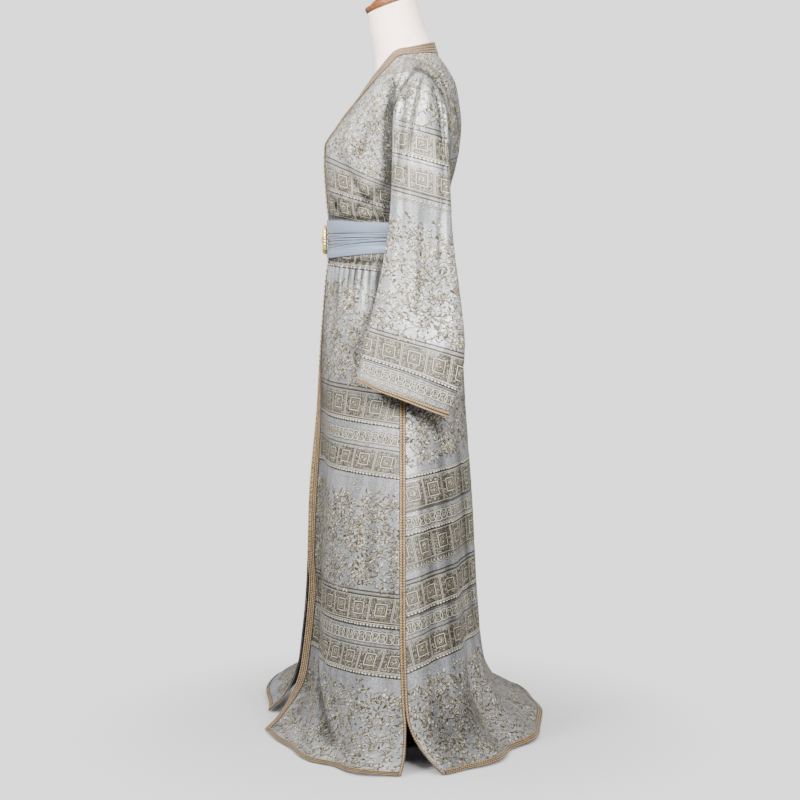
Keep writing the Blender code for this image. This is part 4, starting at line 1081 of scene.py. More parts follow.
def scallops(pattern, v, low, high):
    # Half rings hanging in a row under a line.
    pitch = scallopShape["pitch"]
    u = counted(low, high, pitch) * pitch
    turn = np.linspace(0, math.pi, 8)
    paths = np.stack([u[:, None] + pitch / 2 * np.cos(turn),
                      v + scallopShape["drop"] * np.sin(turn) + 0 * u[:, None]], -1)
    ribbons(pattern, paths, scallopShape["width"], 0.66)
    leaves(pattern, atHeight(u, v + 0.002), quarter, 0.0065, 0.0040, 0.0, 0.7)


vineShape = {"across": 0.083, "down": 0.074, "turns": 1.75, "leaf": (0.0085, 0.0125), "slim": (0.42, 0.54),
             "steps": 36, "stem": 0.0029, "size": (0.033, 0.041), "stray": 0.007, "kept": 0.86,
             "curls": 30, "curlWidth": 0.0036, "looseLeaves": 14, "sprigStep": 0.00468,
             "sprigs": ((0.0, 0.30), (0.16, -0.34), (-0.14, -0.42), (0.0, -0.02))}


def sprig(pattern, base, aim, bend, count):
    # Short curved stems with a leaf to each side in turn and one at the tip.
    rng, n = pattern["rng"], len(base)
    heading = aim[:, None] + bend[:, None] * np.linspace(0, 1, count + 2)
    path = base[:, None] + np.cumsum(toward(heading) * vineShape["sprigStep"], 1)
    stems(pattern, path)
    for k in range(1, count + 2):
        sign = 0 if k == count + 1 else (1 if k % 2 else -1)
        size = rng.uniform(*vineShape["leaf"], n) * (0.92 - 0.06 * (k == count + 1))
        width = size * rng.uniform(*vineShape["slim"], n)
        leaves(pattern, path[:, k], heading[:, k] + 0.85 * sign, size, width, 0.25 * sign, silkTints(rng, n))


def vine(pattern, vTop, vLow, uLow, uHigh):
    # Leafy spirals on a staggered lattice, each ending in a flower, with sprigs between them.
    rng, shape = pattern["rng"], vineShape
    rowCount = max(1, round((vLow - vTop) / shape["down"]))
    wide, rowStep = shape["across"], (vLow - vTop) / rowCount
    count = math.ceil((uHigh - uLow) / wide) + 2
    row, col = np.repeat(np.arange(rowCount), count), np.tile(np.arange(count), rowCount)
    centre = np.stack([uLow + (col - 0.25 + 0.5 * (row % 2)) * wide, vTop + (row + 0.5) * rowStep], -1)
    centre = centre + rng.uniform(-shape["stray"], shape["stray"], centre.shape)
    n = len(centre)
    hand = np.where((row + col) % 2 == 0, -1.0, 1.0)
    start = rng.uniform(0, 2 * math.pi, n)
    big = rng.uniform(*shape["size"], n) * min(1.1, rowStep / shape["down"])
    steps = shape["steps"]
    t = np.linspace(0, 1, steps)
    turn = start[:, None] + hand[:, None] * t * 2 * math.pi * shape["turns"]
    reach = big[:, None] * (1.0 - 0.70 * t ** 0.9)
    path = centre[:, None] + reach[..., None] * np.stack([np.cos(turn), 0.95 * np.sin(turn)], -1)
    stems(pattern, path)
    slope = np.gradient(path, axis=1)
    heading = np.arctan2(slope[..., 1], slope[..., 0])
    for k in range(1, steps - 1):
        for sign in ((1,) if k % 2 else (-1,)) if k > steps // 2 else (1, -1):
            keep = rng.random(n) < shape["kept"]
            size = rng.uniform(*shape["leaf"], n) * (1.05 - 0.30 * k / steps)
            lean = sign * rng.uniform(0.55, 1.15, n)
            width = size[keep] * rng.uniform(*shape["slim"], keep.sum())
            leaves(pattern, path[keep, k], (heading[:, k] + lean)[keep], size[keep], width, sign * 0.35,
                   silkTints(rng, keep.sum()))
    flower(pattern, centre, 5, start, 0.35, 0.0016, lambda: rng.uniform(0.006, 0.011, n), 0.0044, 0.3,
           lambda: silkTints(rng, n))
    curl = np.linspace(0, 2.7, 5)
    # Curls, painted dark on their lower side as shade falls under a raised thread
    for _ in range(shape["curls"]):
        spot = centre + rng.uniform(-0.5, 0.5, (n, 2)) * [wide, rowStep]
        turned, size = rng.uniform(0, 2 * math.pi, n)[:, None], rng.uniform(0.0038, 0.0062, n)[:, None]
        arc = spot[:, None] + (size * (1 - 0.10 * curl))[..., None] * toward(turned + curl)
        ribbons(pattern, arc, shape["curlWidth"], rng.uniform(0.3, 0.95, n), (0.0, 0.28, 0.9))
    for _ in range(shape["looseLeaves"]):
        spot = centre + rng.uniform(-0.5, 0.5, (n, 2)) * [wide, rowStep]
        leaves(pattern, spot, rng.uniform(0, 2 * math.pi, n), rng.uniform(0.007, 0.010, n), 0.0042, 0.5,
               silkTints(rng, n))
    link = np.linspace(0, 1, 14)
    sway = 0.010 * hand[:, None] * np.sin(2 * np.pi * link + 0.4)
    joined = np.stack([centre[:, :1] + wide * link, centre[:, 1:] + 0.46 * rowStep + sway], -1)
    stems(pattern, joined)
    for k in range(1, 13):
        size = rng.uniform(*shape["leaf"], n) * 0.85
        leaves(pattern, joined[:, k], (1 if k % 2 else -1) + 0.3 * hand, size, size * 0.42,
               0.3 if k % 2 else -0.3, silkTints(rng, n))
    gap = centre + np.array([wide / 2, 0])
    for k, place in enumerate(shape["sprigs"]):
        base = gap + np.array(place) * [wide, rowStep] + rng.uniform(-0.003, 0.003, (n, 2))
        bend = hand * (2.2 if k % 2 else -1.6)
        sprig(pattern, base, rng.uniform(0, 2 * math.pi, n), bend, 3 if k < 2 else 2)


def laidOn(pattern, name):
    # Lays the drawn figures on the cloth: flat place to grid place, then just off the cloth.
    cloth = pattern["cloth"]
    uv, rim, tint, lift, faces = (np.concatenate(pattern[key])
                                  for key in ("uv", "rim", "tint", "lift", "faces"))
    r, c, missed = placedOn(cloth, uv[:, 0], uv[:, 1])
    rows, cols = cloth["u"].shape
    within = (r > 0.2) & (r < rows - 1.2) & (c > 0.2) & (c < cols - 1.2) & (missed < flatMiss)
    faces = faces[within[faces].all(1)]
    used = np.unique(faces)
    renumber = np.zeros(len(uv), np.int64)
    renumber[used] = np.arange(len(used))
    faces = renumber[faces]
    points, normals, hollow = (sampled(cloth[key], r[used], c[used])
                               for key in ("points", "normals", "hollow"))
    normals = unit(normals)
    points = points + (cut["cloth"] / 2 + figureRise["over"] + lift[used])[:, None] * normals
    a, b, d = (points[faces[:, k]] for k in range(3))
    facing = np.einsum("ij,ij->i", np.cross(b - a, d - a), normals[faces[:, 0]])
    faces[facing < 0] = faces[facing < 0][:, ::-1]
    mesh = fillMesh(name, points, faces)
    for key, values in {"rim": rim[used], "tint": tint[used], "hollow": hollow}.items():
        giveValue(mesh, key, values)
    print(name, len(faces), "triangles")
    return mesh


def flatHeight(cloth, height):
    # The flat v of a height on the cloth's centre line.
    heights, v = cloth["centre"]
    order = np.argsort(heights)
    return float(np.interp(height, heights[order], v[order]))


# Borders by height on the centre line: kind, top, bottom
bodiceLayout = [
    ("vine", 1.44, 1.245), ("lines", 1.238, 1.226), ("squares", 1.222, 1.172), ("pearls", 1.166, 0),
    ("squares", 1.158, 1.114), ("squares", 1.060, 1.013), ("pearls", 1.007, 0),
]
frontLayout = bodiceLayout + [
    ("vine", 0.968, 0.775), ("lines", 0.766, 0.758), ("squares", 0.755, 0.705), ("line", 0.702, 0),
    ("pearls", 0.697, 0), ("rings", 0.668, 0), ("line", 0.648, 0), ("squares", 0.645, 0.600),
    ("pearls", 0.594, 0),
    ("vine", 0.560, 0.360), ("lines", 0.352, 0.344), ("squares", 0.341, 0.293), ("line", 0.290, 0),
    ("pearls", 0.285, 0), ("rings", 0.262, 0), ("line", 0.244, 0), ("squares", 0.241, 0.196),
    ("pearls", 0.190, 0),
    ("vine", 0.165, 0.006),
]
backLayout = bodiceLayout + [
    ("vine", 0.968, 0.625), ("pearls", 0.596, 0), ("squares", 0.590, 0.535), ("line", 0.531, 0),
    ("rings", 0.508, 0), ("pearls", 0.488, 0), ("squares", 0.482, 0.432), ("scallops", 0.428, 0),
    ("lines", 0.402, 0.394), ("squares", 0.390, 0.342), ("pearls", 0.337, 0), ("rings", 0.312, 0),
    ("line", 0.292, 0), ("squares", 0.288, 0.240), ("pearls", 0.234, 0),
    ("vine", 0.212, 0.006),
]
# On a sleeve the heights are those of its outer middle line
sleeveLayout = [
    ("vine", 1.375, 1.305), ("lines", 1.296, 1.286), ("squares", 1.283, 1.238), ("pearls", 1.232, 0),
    ("line", 1.222, 0), ("squares", 1.214, 1.166), ("lines", 1.162, 1.154), ("scallops", 1.150, 0),
    ("vine", 1.105, 0.872), ("lines", 0.866, 0.858), ("squares", 0.855, 0.806), ("pearls", 0.801, 0),
    ("line", 0.794, 0), ("rings", 0.776, 0), ("scallops", 0.760, 0),
]
# What draws each kind, and its plain lines: share of the way down, width, tint
drawnBetween = {"vine": vine, "squares": squaresRow}
drawnAt = {"pearls": pearls, "rings": ringChain, "scallops": scallops}
plainLines = {"squares": ((0, 0.0026, 0.8), (1, 0.0026, 0.8)), "line": ((0, 0.0022, 0.15),),
              "lines": ((0, 0.0030, 0.05), (0.5, 0.0022, 0.75), (1, 0.0030, 0.05))}


def weave(pattern, layout):
    # Draws every border and vine of a layout across the whole cloth.
    cloth = pattern["cloth"]
    for k, (kind, top, bottom) in enumerate(layout):
        v = flatHeight(cloth, top) if k else cloth["v"].min()
        end = flatHeight(cloth, bottom) if bottom else v
        row = (cloth["v"] > v - 0.03) & (cloth["v"] < end + 0.03)
        low, high = cloth["u"][row].min(), cloth["u"][row].max()
        if kind in drawnBetween:
            drawnBetween[kind](pattern, v, end, low, high)
        elif kind in drawnAt:
            drawnAt[kind](pattern, v, low, high)
        for share, width, tint in plainLines.get(kind, ()):
            across(pattern, (1 - share) * v + share * end, low, high, width, tint)


def makeCloth(name, cloth, layout, seed):
    # A piece of brocade with its plain inside, and the figures woven on it; a sleeve closes on itself.
    wrap = layout is sleeveLayout
    points, u, v, hollow = (cloth[key][:, :-1 if wrap else None] for key in ("points", "u", "v", "hollow"))
    mesh = fillMesh(name + "Cloth", points, gridFaces(*u.shape, wrap))
    giveUv(mesh, u, v)
    giveValue(mesh, "hollow", hollow)
    bands = [(flatHeight(cloth, top) - 0.003, flatHeight(cloth, bottom) + 0.003)
             for kind, top, bottom in layout if kind == "squares"]
    addPiece(name + "Cloth", mesh, groundFinish(name + "Brocade", bands), nodeName(name))
    mesh.materials.append(inside)
    giveWall(name + "Cloth", cut["cloth"]).material_offset = 1
    pattern = newPattern(cloth, seed)
    weave(pattern, layout)
    addPiece(name + "Figures", laidOn(pattern, name + "Figures"), figure, None)
    print(name, "cloth and figures made")


cloths = {
    "leftFront": (frontCloth(1), frontLayout, 11), "rightFront": (frontCloth(-1), frontLayout, 12),
    "back": (backCloth(), backLayout, 13),
    "leftSleeve": (sleeveCloth(1), sleeveLayout, 14), "rightSleeve": (sleeveCloth(-1), sleeveLayout, 15),
}
for name, made in cloths.items():
    makeCloth(name, *made)

# Cords and braids: humps side by side over a strip of the cloth
cordShape = {"steps": 6, "base": 0.0008, "edge": 0.0004, "braid": 0.0024, "cuff": 0.0022}


def bodySurface(a, b):
    return bodyPoint(a, b), bodyNormal(a, b)


def sleeveSurface(side, turn, station):
    # Places on a sleeve, and the way out from the cross of the two ways along it.
    point, flip = sleevePoint(turn, station), np.array([side, 1, 1])
    around = sleevePoint(turn + 0.01, station) - sleevePoint(turn - 0.01, station)
    down = sleevePoint(turn, np.minimum(station + 0.02, 8)) - sleevePoint(turn, station - 0.02)
    return point * flip, unit(np.cross(down, around)) * flip


def cordProfile(cords):
    # Across cords side by side: share of the way, rise as rounded half circles, lane and crown.
    each = cordShape["steps"]
    share = np.linspace(0, 1, cords * each + 1)
    local = 2 * ((share * cords) % 1) - 1
    hump, crown = np.sqrt(np.maximum(0, 1 - local ** 2)) ** 0.8, 1 - np.abs(local)
    hump[::each] = crown[::each] = 0
    behind = share[::-1][::each]
    return share, hump, np.append(share, behind) * cords, np.append(crown, 0 * behind)


def cordLoops(point, normal, hump, height):
    # The cords' round outside over a strip, and its flat back.
    top = point + (cordShape["base"] + cordShape["edge"] + height * hump)[:, None] * normal
    return np.concatenate([top, (point + cordShape["base"] * normal)[:, ::-1][:, ::cordShape["steps"]]], 1)


def braid(name, innerA, innerH, outerA, outerH, cords, turned=False):
    # The strip of the body between two edge lines of (angle, height), raised as cords side by side.
    share, hump, lane, crown = cordProfile(cords)
    innerA, innerH, outerA, outerH = (edge[:, None] for edge in (innerA, innerH, outerA, outerH))
    strip = bodySurface(innerA + (outerA - innerA) * share, innerH + (outerH - innerH) * share)
    loops = cordLoops(*strip, hump, cordShape["braid"])
    run = running(lengths(loops[:, 0], 0))
    if turned:
        loops, lane, crown = loops[:, ::-1], lane[::-1], crown[::-1]
    mesh = tubeMesh(name, loops, lane, run)
    # The crown share paints shade into the grooves between the cords
    giveValue(mesh, "rim", np.append(np.tile(crown, len(loops)), [0, 0]))
    addPiece(name, mesh, tanCord)


def levelBraid(name, turns, top, low, cords, turned=False):
    # A braid that runs round the body between two heights.
    braid(name, turns, top + 0 * turns, turns, low + 0 * turns, cords, turned)


def arcTurn(angle, height, distance):
    # The turn round the body that moves a point by a distance.
    step = 0.0005
    along = bodyPoint(angle + step, height, True) - bodyPoint(angle - step, height, True)
    return distance * 2 * step / np.linalg.norm(along, axis=-1)


frontBraid = {"cords": 4, "least": 0.03, "wider": 0.74, "widerFrom": 1.385, "widerOver": 0.071, "even": 1.2}
hemBraid = {"top": 0.0100, "low": cut["hem"], "cords": 3}
napeBraid = {"top": 1.456, "low": 1.4408, "cords": 4}
trimEnds = {"hemFront": 0.0204, "hemSide": 0.007, "hemBack": 0.025, "cordTop": 1.0, "short": 90, "long": 200}
for word, side in sides.items():
    a0, h0, a1, h1 = frontPlaces(side)
    length = np.linalg.norm(bodyPoint(a1, h1, True) - bodyPoint(a0, h0, True), axis=1)
    widened = 1 + frontBraid["wider"] * ease((h0 - frontBraid["widerFrom"]) / frontBraid["widerOver"])
    share = cut["braidWidth"] / np.maximum(length, frontBraid["least"]) * widened
    below = h0 < frontBraid["even"]
    bandA = np.where(below, a0 + arcTurn(a0, h0, cut["braidWidth"]), a0 + (a1 - a0) * share)
    bandH = np.where(below, h0, h0 + (h1 - h0) * share)
    braid(word + "FrontBraid", side * a0, h0, side * bandA, bandH, frontBraid["cords"], side < 0)
    low = h1 <= trimEnds["cordTop"]
    a, h = a1[low], h1[low]
    braid(word + "FrontSideCord", side * (a - arcTurn(a, h, cut["cordWidth"])), h, side * a, h, 1, side < 0)
    ends = (a0[-1] + arcTurn(a0[-1], cut["hem"], trimEnds["hemFront"]),
            a[-1] - arcTurn(a[-1], cut["hem"], trimEnds["hemSide"]))
    hem = side * np.linspace(*ends, trimEnds["short"])
    levelBraid(word + "FrontHemBraid", hem, *hemBraid.values(), side < 0)
seam, heights = backPlaces()
nape = np.linspace(seam[0], 2 * math.pi - seam[0], trimEnds["short"])
levelBraid("backNeckBraid", nape, *napeBraid.values())
low = heights <= trimEnds["cordTop"]
a, h = seam[low], heights[low]
wide = arcTurn(a, h, cut["cordWidth"])
braid("leftBackSideCord", a, h, a + wide, h, 1)
braid("rightBackSideCord", -a - wide, h, -a, h, 1)
ends = seam[-1] + trimEnds["hemBack"], 2 * math.pi - seam[-1] - trimEnds["hemBack"]
levelBraid("backHemBraid", np.linspace(*ends, trimEnds["long"]), *hemBraid.values())

cuffShape = {"cords": 2, "turns": 120, "start": 7.76, "width": 0.24, "round": 0.62}


def cuffBraid(name, side):
    # The cuff's cords, a closed ring round the sleeve's end.
    share, hump, lane, crown = cordProfile(cuffShape["cords"])
    turn = np.radians(np.linspace(0, 360, cuffShape["turns"] + 1))[:, None]
    strip = sleeveSurface(side, turn, cuffShape["start"] + cuffShape["width"] * share)
    loops = cordLoops(*strip, hump, cordShape["cuff"])[:-1]
    n, m = loops.shape[:2]
    faces = gridFaces(n + 1, m, True)[:, [0, 3, 2, 1]] % (n * m)
    mesh = fillMesh(name, loops, faces[:, ::side])
    giveUv(mesh, np.tile(lane, n), np.repeat(np.linspace(0, cuffShape["round"], n), m))
    # The crown share paints shade into the grooves between the cords
    giveValue(mesh, "rim", np.tile(crown, n))
    addPiece(name, mesh, tanCord)


# seam: station and size of the brocade roll; thread: those of a thin black roll that stands in for the seam's
# shadow line; shade: the shade painted on the brocade roll
armholeSeams = {"from": -60, "to": 240, "steps": 121, "round": 8, "out": 0.2, "shade": 0.75,
                "seam": (0.03, 0.0014), "thread": (0.075, 0.0012)}


def armholeSeam(name, side, station, size, material):
    # The turned seam where a sleeve is sewn in: a thin roll round the armhole, with shade painted on it.
    shape = armholeSeams
    turn = np.radians(np.linspace(shape["from"], shape["to"], shape["steps"]))
    place, out = sleeveSurface(side, turn, np.full(len(turn), station))
    beside = unit(np.cross(unit(np.gradient(place, axis=0)), out))
    roll = np.linspace(0, 2 * math.pi, shape["round"], endpoint=False)
    loops = place[:, None] + size * (np.cos(roll)[:, None] * beside[:, None]
                                     + (shape["out"] + np.sin(roll))[:, None] * out[:, None])
    mesh = tubeMesh(name, loops[:, ::side], roll * 0.002, turn * 0.1)
    giveValue(mesh, "hollow", np.full(len(mesh.vertices), shape["shade"]))
    addPiece(name, mesh, material, None)


for word, side in sides.items():
    cuffBraid(word + "CuffBraid", side)
for word, side in sides.items():
    brocade = pieces["leftSleeveCloth"].data.materials[0]
    armholeSeam(word + "ArmholeSeam", side, *armholeSeams["seam"], brocade)
    # A thin black roll beside the seam: a painted shadow line along it
    armholeSeam(word + "ArmholeThread", side, *armholeSeams["thread"], inside)
print("cords and braids made")

# Knots: small lobed balls in rows
knots = {"pitch": 0.0107, "fromEdge": 0.0064, "size": (0.0034, 0.0020, 0.0040), "lift": 0.0030}
seamKnots = {"pitch": 0.0052, "size": (0.0017, 0.0013, 0.0015), "lift": 0.0024}


def balls(name, centres, outs, size, material, node, lobes=0.16, rows=8, cols=10):
    # Lobed spheres at each centre: the radius swells and shrinks round and along them.
    theta = np.linspace(0, math.pi, rows + 1)[1:-1, None]
    phi = np.linspace(0, 2 * math.pi, cols, endpoint=False)[None]
    radius = 1 + lobes * np.cos(2 * phi + 3 * theta) * np.sin(theta)
    local = np.stack([radius * np.sin(theta) * np.cos(phi), radius * np.sin(theta) * np.sin(phi),
                      radius * np.cos(theta) + 0 * phi], -1).reshape(-1, 3)
    local = np.concatenate([local, [(0, 0, 1), (0, 0, -1)]])
    up = np.array([0.0, 0.0, 1.0])
    beside = unit(np.cross(outs, up))
    points = (centres[:, None] + local[:, :1] * size[0] * beside[:, None]
              + local[:, 1:2] * size[1] * outs[:, None] + local[:, 2:] * size[2] * up)
    m, ring, lowRing = len(local), np.arange(cols), (rows - 2) * cols
    quads = gridFaces(rows - 1, cols, True)[:, [0, 3, 2, 1]]
    tris = np.concatenate([quads[:, [0, 1, 2]], quads[:, [0, 2, 3]],
                           np.stack([np.full(cols, m - 2), (ring + 1) % cols, ring], 1),
                           np.stack([np.full(cols, m - 1), lowRing + ring, lowRing + (ring + 1) % cols], 1)])
    faces = tris[None, :, ::-1] + (m * np.arange(len(centres)))[:, None, None]
    mesh = fillMesh(name, points, faces.reshape(-1, 3))
    turns, climb = np.tile(phi.ravel() / 2, rows - 1), np.repeat(theta.ravel() * 0.004, cols)
    giveUv(mesh, *(np.tile(np.append(x, [0, 0]), len(centres)) for x in (turns, climb)))
    giveValue(mesh, "rim", np.ones(m * len(centres)))
    addPiece(name, mesh, material, node)


def knotColumns(name, top, bottom):
    # Two columns of knots, one on each front's braid.
    h = np.arange(top, bottom, -knots["pitch"])
    a = arcTurn(0 * h, h, knots["fromEdge"])
    point, out = bodySurface(np.append(a, -a), np.append(h, h))
    balls(name + "Knots", point + knots["lift"] * out, out, knots["size"], knotThread,
          name + "_buttons")


knotColumns("bodice", 1.234, 1.106)
knotColumns("skirt", 1.012, 0.388)
# Small stitches that join the two cords of each side seam
for word, side in sides.items():
    h = np.arange(0.995, 0.125, -seamKnots["pitch"])
    point, out = bodySurface(np.full(len(h), side * quarter), h)
    balls(word + "SeamKnots", point + seamKnots["lift"] * out, out, seamKnots["size"], knotThread,
          None, 0.0, 4, 6)
print("knots made")

# The belt, and where its pleats start and end as shares of its depth
beltShape = {"rise": 0.015, "drop": 0.004, "levelTurn": 80, "stepTurn": 14, "wall": 0.0014, "lift": 0.0034,
             "step": 0.0018, "pleat": 0.0021, "long": 0.148, "deep": 0.082, "columns": 160, "rows": 57,
             "creases": ((0.34, 0.33), (0.43, 0.40), (0.52, 0.45), (0.58, 0.50), (0.66, 0.53), (0.74, 0.62))}


def frontTurn(angle):
    # Degrees away from the front, to either side.
    return np.degrees(np.minimum(angle, 2 * math.pi - angle))


def beltPleat(angle, share):
    # Depth of the lengthwise pleats, each a narrow dent with a soft ridge beside it.
    pleat, turn = np.zeros(np.broadcast(angle, share).shape), frontTurn(angle)
    for k, (start, end) in enumerate(beltShape["creases"]):
        wander = start + (end - start) * ease(turn / 80) + 0.013 * np.sin(angle * (2 + k % 3) + 1.7 * k) \
            + 0.008 * np.sin(5 * angle + k)
        depth = beltShape["pleat"] * (0.68 + 0.32 * np.sin(4 * angle + 2.1 * k))
        pleat = pleat - depth * np.exp(-((share - wander) / 0.018) ** 2) \
            + 0.6 * depth * np.exp(-((share - wander - 0.038) / 0.020) ** 2)
    return pleat


def beltPoint(angle, share):
    # Parallel to the body over the cloth and the front braids, pleated along its length.
    turn = frontTurn(angle)
    level = ease(turn / beltShape["levelTurn"])
    bottom = cut["beltBottom"] + beltShape["rise"] * level
    top = cut["beltTop"] - beltShape["drop"] * level
    height = top + (bottom - top) * share
    lift = beltShape["lift"] + beltShape["step"] * ease((beltShape["stepTurn"] + 3 - turn) / 6)
    puff = 0.0010 * np.sin(math.pi * np.clip(share / 0.33, 0, 1)) \
        + 0.0008 * np.sin(math.pi * np.clip((share - 0.76) / 0.24, 0, 1))
    away = (lift + puff + beltPleat(angle, share))[..., None]
    return bodyPoint(angle, height, True) + away * bodyNormal(angle, height, True)


columns, rows = beltShape["columns"], beltShape["rows"]
angles, shares = np.meshgrid(np.linspace(0, 2 * math.pi, columns, endpoint=False), np.linspace(0, 1, rows))
beltPoints = beltPoint(angles, shares)
mesh = fillMesh("beltSash", beltPoints, gridFaces(rows, columns, True))
giveUv(mesh, angles * beltShape["long"], shares * beltShape["deep"])
# Painted shade in the pleats' dents
giveValue(mesh, "hollow", np.clip(-beltPleat(angles, shares) / 0.0010, 0, 1))
addPiece("beltSash", mesh, beltSatin, "belt")
giveWall("beltSash", beltShape["wall"])
print("belt made")


def turnedPiece(name, profile, steps, material, node="", centre=(0, 0, 0), tilt=0, wave=None):
    # A profile of radius and height, closely stepped and swept round; tilt turns it about X.
    profile = np.array(profile, float)
    run = running(lengths(profile, 0))
    at = np.unique(np.concatenate([run, np.linspace(0, run[-1], 70)]))
    r, z = (np.interp(at, run, column)[:, None] for column in profile.T)
    turn = np.linspace(0, 2 * math.pi, steps, endpoint=False)
    r, z = r + 0 * turn, z + 0 * turn
    if wave:
        r, z = wave(r, z, turn)
    local = np.stack([r * np.sin(turn), -r * np.cos(turn), z], -1)
    c, s = math.cos(tilt), math.sin(tilt)
    loops = local @ np.array([[1, 0, 0], [0, c, -s], [0, s, c]]).T + np.array(centre)
    addPiece(name, tubeMesh(name, loops[:, ::-1], turn * 0.05, at), material, node)


# The neck's rings: y, z, radius, tilt in degrees; the cap sits on the last
neckRings = ((0.0115, 1.4740, 0.0590, 26.5), (0.0010, 1.5125, 0.0565, 22.5), (-0.0055, 1.5500, 0.0540, 19.0))
capTilt = math.radians(neckRings[-1][3])
capUp = np.array([0, -math.sin(capTilt), math.cos(capTilt)])
capCentre = np.array([0, *neckRings[-1][:2]]) + 0.0003 * capUp
# Turned pieces: radius and height from the top down
profiles = {
    "neckCap": ((0.0008, 0.062), (0.006, 0.0618), (0.010, 0.0605), (0.0145, 0.0575), (0.0172, 0.0535),
                (0.0185, 0.047), (0.0172, 0.042), (0.0150, 0.0385), (0.0132, 0.0355), (0.0130, 0.033),
                (0.0155, 0.0290), (0.020, 0.026), (0.028, 0.0222), (0.036, 0.019), (0.0425, 0.0158),
                (0.046, 0.0135), (0.0475, 0.0126), (0.0505, 0.0125), (0.0545, 0.0122), (0.0565, 0.0112),
                (0.0574, 0.0090), (0.0575, 0.006), (0.0573, 0.0030), (0.0562, 0.0006), (0.0550, 0.0),
                (0.0008, 0.0)),
    "standPole": ((0.0008, 0.7997), (0.055, 0.7997), (0.055, 0.7917), (0.022, 0.7857), (0.015, 0.7697),
                  (0.015, 0.0623), (0.026, 0.0403), (0.034, 0.0223), (0.0008, 0.0223)),
    "standBase": ((0.0008, 0.022), (0.120, 0.022), (0.150, 0.0195), (0.159, 0.0160), (0.1635, 0.0125),
                  (0.165, 0.009), (0.165, 0.003), (0.162, 0.0), (0.0008, 0.0)),
}
turnedPiece("neckCap", profiles["neckCap"], 72, turnedWood, centre=capCentre, tilt=capTilt)
turnedPiece("standPole", profiles["standPole"], 40, turnedWood)
turnedPiece("standBase", profiles["standBase"], 96, turnedWood)

# The buckle: its profile's heights are shares of its depth
buckleShape = {"radius": 0.0305, "height": 1.0575, "depth": 0.011, "beads": 30, "beadRing": 0.0262,
               "beadSize": (0.0021, 0.0019, 0.0021), "petals": 10}
buckleProfile = ((0.0003, 1), (0.003, 0.99), (0.0065, 0.93), (0.0085, 0.80), (0.0095, 0.70), (0.0125, 0.78),
                 (0.0165, 0.66), (0.0200, 0.50), (0.0225, 0.48), (0.0240, 0.60), (0.0262, 0.66),
                 (0.0285, 0.58), (0.0303, 0.42), (0.0305, 0.14), (0.0290, 0.0), (0.0003, 0.0))
seatY = float(beltPoints[:, np.r_[0:4, -4:0], 1].min()) - 0.0008


def buckleWave(r, z, turn):
    # Petals round the dome and scallops on the rim.
    size = buckleShape["radius"]
    dome = np.exp(-((r - 0.42 * size) / (0.22 * size)) ** 2)
    petals = 0.0011 * np.cos(buckleShape["petals"] * turn) * dome
    rim = ease((r - 0.8 * size) / (0.2 * size))
    return (r * (1 + 0.022 * rim * np.cos(buckleShape["beads"] * turn)),
            z + np.where(z > 0.25 * buckleShape["depth"], petals, 0))


depth, height = buckleShape["depth"], buckleShape["height"]
turnedPiece("buckleDisc", [(r, z * depth) for r, z in buckleProfile], 180, buckleGold,
            "buckle", (0, seatY, height), quarter, buckleWave)
turn = np.arange(buckleShape["beads"]) * 2 * math.pi / buckleShape["beads"]
spots = np.stack([buckleShape["beadRing"] * np.sin(turn), np.full(len(turn), seatY - 0.66 * depth),
                  height + buckleShape["beadRing"] * np.cos(turn)], -1)
balls("buckleBeads", spots, np.tile([0.0, -1.0, 0.0], (len(turn), 1)), buckleShape["beadSize"], buckleGold,
      None, 0.0, 7, 10)
print("buckle and stand made")

# The dress form: the garment's plain rings drawn in, and a neck
formShape = {"height": [1.456, 1.402, 1.30, 1.215, 1.06, 1.02, 0.97, 0.90, 0.80],
             "inset": [0.0034, 0.0056, 0.0040, 0.0040, 0.0038, 0.0058, 0.0075, 0.0120, 0.0300],
             "bottom": 0.800, "columns": 96, "frontInset": 0.009, "bottomInset": 0.004}
formAngles = np.linspace(0, 2 * math.pi, formShape["columns"], endpoint=False)
a, h = np.meshgrid(formAngles, [0.800, 0.804, 0.812, *np.arange(0.83, 1.440, 0.022), 1.440, 1.448, 1.456])
chest = ease((h - 1.20) / 0.08) * ease((1.452 - h) / 0.05) * np.exp(-(frontTurn(a) / 14) ** 2)
inset = (smoothThrough(formShape["height"], formShape["inset"], h) + formShape["frontInset"] * chest
         + formShape["bottomInset"] * ease((0.812 - h) / 0.012))
body = bodyPoint(a, h, True) - inset[..., None] * bodyNormal(a, h, True)
body[0, :, 2] = formShape["bottom"]
neck = []
for share in np.linspace(0, 2, 13):
    y, z, radius, tilt = (float(smoothThrough([0, 1, 2], column, share)) for column in zip(*neckRings))
    lean = math.radians(tilt)
    neck.append(np.stack([radius * np.sin(formAngles), y - radius * np.cos(formAngles) * math.cos(lean),
                          z - radius * np.cos(formAngles) * math.sin(lean)], -1))
blend = [body[-1] + (neck[0] - body[-1]) * share for share in (0.3, 0.6, 0.85)]
loops = np.concatenate([body, blend, neck])
addPiece("formBody", tubeMesh("formBody", loops, formAngles * 0.06, loops[:, 0, 2]), formLinen,
         "dress_form")
print("form made")


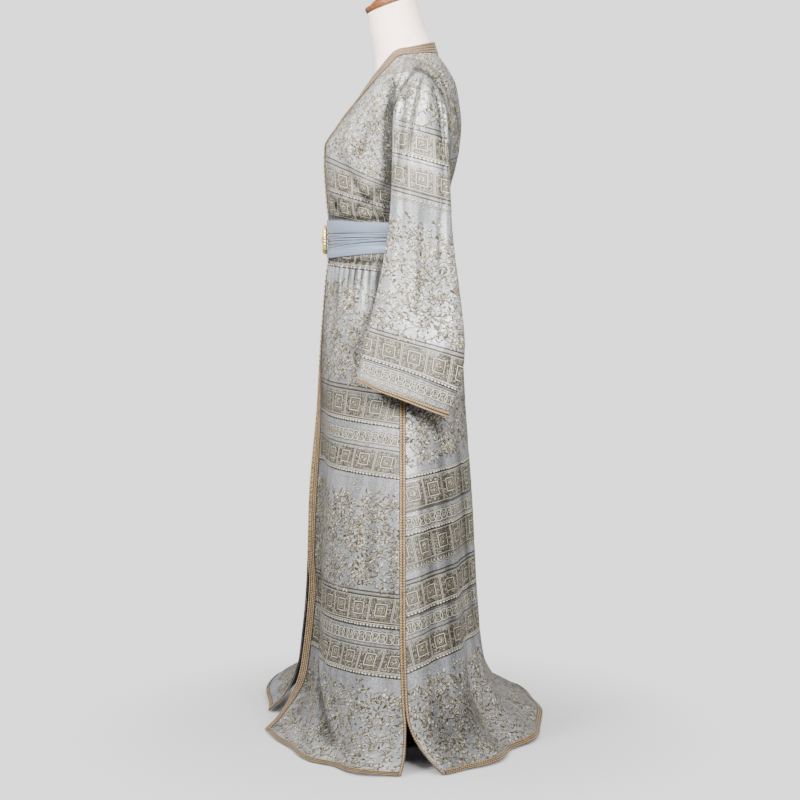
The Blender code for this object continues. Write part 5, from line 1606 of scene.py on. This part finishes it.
def studioFloor():
    # A round paper floor that fades into the background with the distance from the middle.
    steps, drop = studio["floorSteps"], studio["floorDrop"]
    turn = np.linspace(0, 2 * math.pi, steps, endpoint=False)
    radii = np.array(studio["floorRings"])[:, None]
    points = np.stack([radii * np.sin(turn), -radii * np.cos(turn), 0 * radii * turn - drop], -1)
    ring = np.arange(steps)
    fan = np.stack([0 * ring + steps, ring, (ring + 1) % steps], 1)
    made, tree, _ = finish("paperFloor", studio["floorTone"], 0.9, Specular_IOR_Level=0.2)
    away = node(tree, "VectorMath", {0: objectPlace(tree)}, "Value", operation="LENGTH")
    fade = node(tree, "MapRange", {"Value": away, **dict(zip(("From Min", "From Max"), studio["floorFade"]))},
                interpolation_type="SMOOTHSTEP")
    paper = tree.nodes["Principled BSDF"].outputs[0]
    feed(tree.nodes["Material Output"].inputs["Surface"],
         node(tree, "MixShader", {0: fade, 1: paper, 2: node(tree, "BsdfTransparent")}))
    for mesh in (fillMesh("floor", points[::-1], gridFaces(len(radii), steps, True)),
                 fillMesh("floorMiddle", np.concatenate([points[0], [[0, 0, -drop]]]), fan)):
        mesh.materials.append(made)
        linked(mesh.name, mesh)


def studioLights():
    for name, (place, aim, size, power, spreadOut) in studio["lamps"].items():
        lamp = bpy.data.lights.new(name, "AREA")
        lamp.shape, lamp.size, lamp.energy, lamp.spread = "DISK", size, power, math.radians(spreadOut)
        made = linked(name, lamp)
        made.location = place
        made.rotation_euler = (Vector(aim) - Vector(place)).to_track_quat("-Z", "Y").to_euler()
    world = bpy.context.scene.world = bpy.data.worlds.new("studio")
    world.use_nodes = True
    tree = world.node_tree
    soft, paper = (node(tree, "Background", {"Color": studio["paper"], "Strength": studio[strength]})
                   for strength in ("ambient", "paperGlow"))
    feed(tree.nodes["World Output"].inputs["Surface"],
         node(tree, "MixShader", {0: node(tree, "LightPath", out="Is Camera Ray"), 1: soft, 2: paper}))


def studioCamera():
    camera = bpy.data.cameras.new("camera")
    camera.lens, camera.sensor_width = studio["lens"], 36
    made = linked("camera", camera)
    made.location = studio["eye"]
    down = math.radians(studio["lookDown"])
    made.rotation_euler = Vector((-math.cos(down), 0, -math.sin(down))).to_track_quat("-Z", "Y").to_euler()
    bpy.context.scene.camera = made


studioFloor()
studioLights()
studioCamera()
print("studio made")


def plain(box):
    return [[float(x) for x in corner] for corner in box]
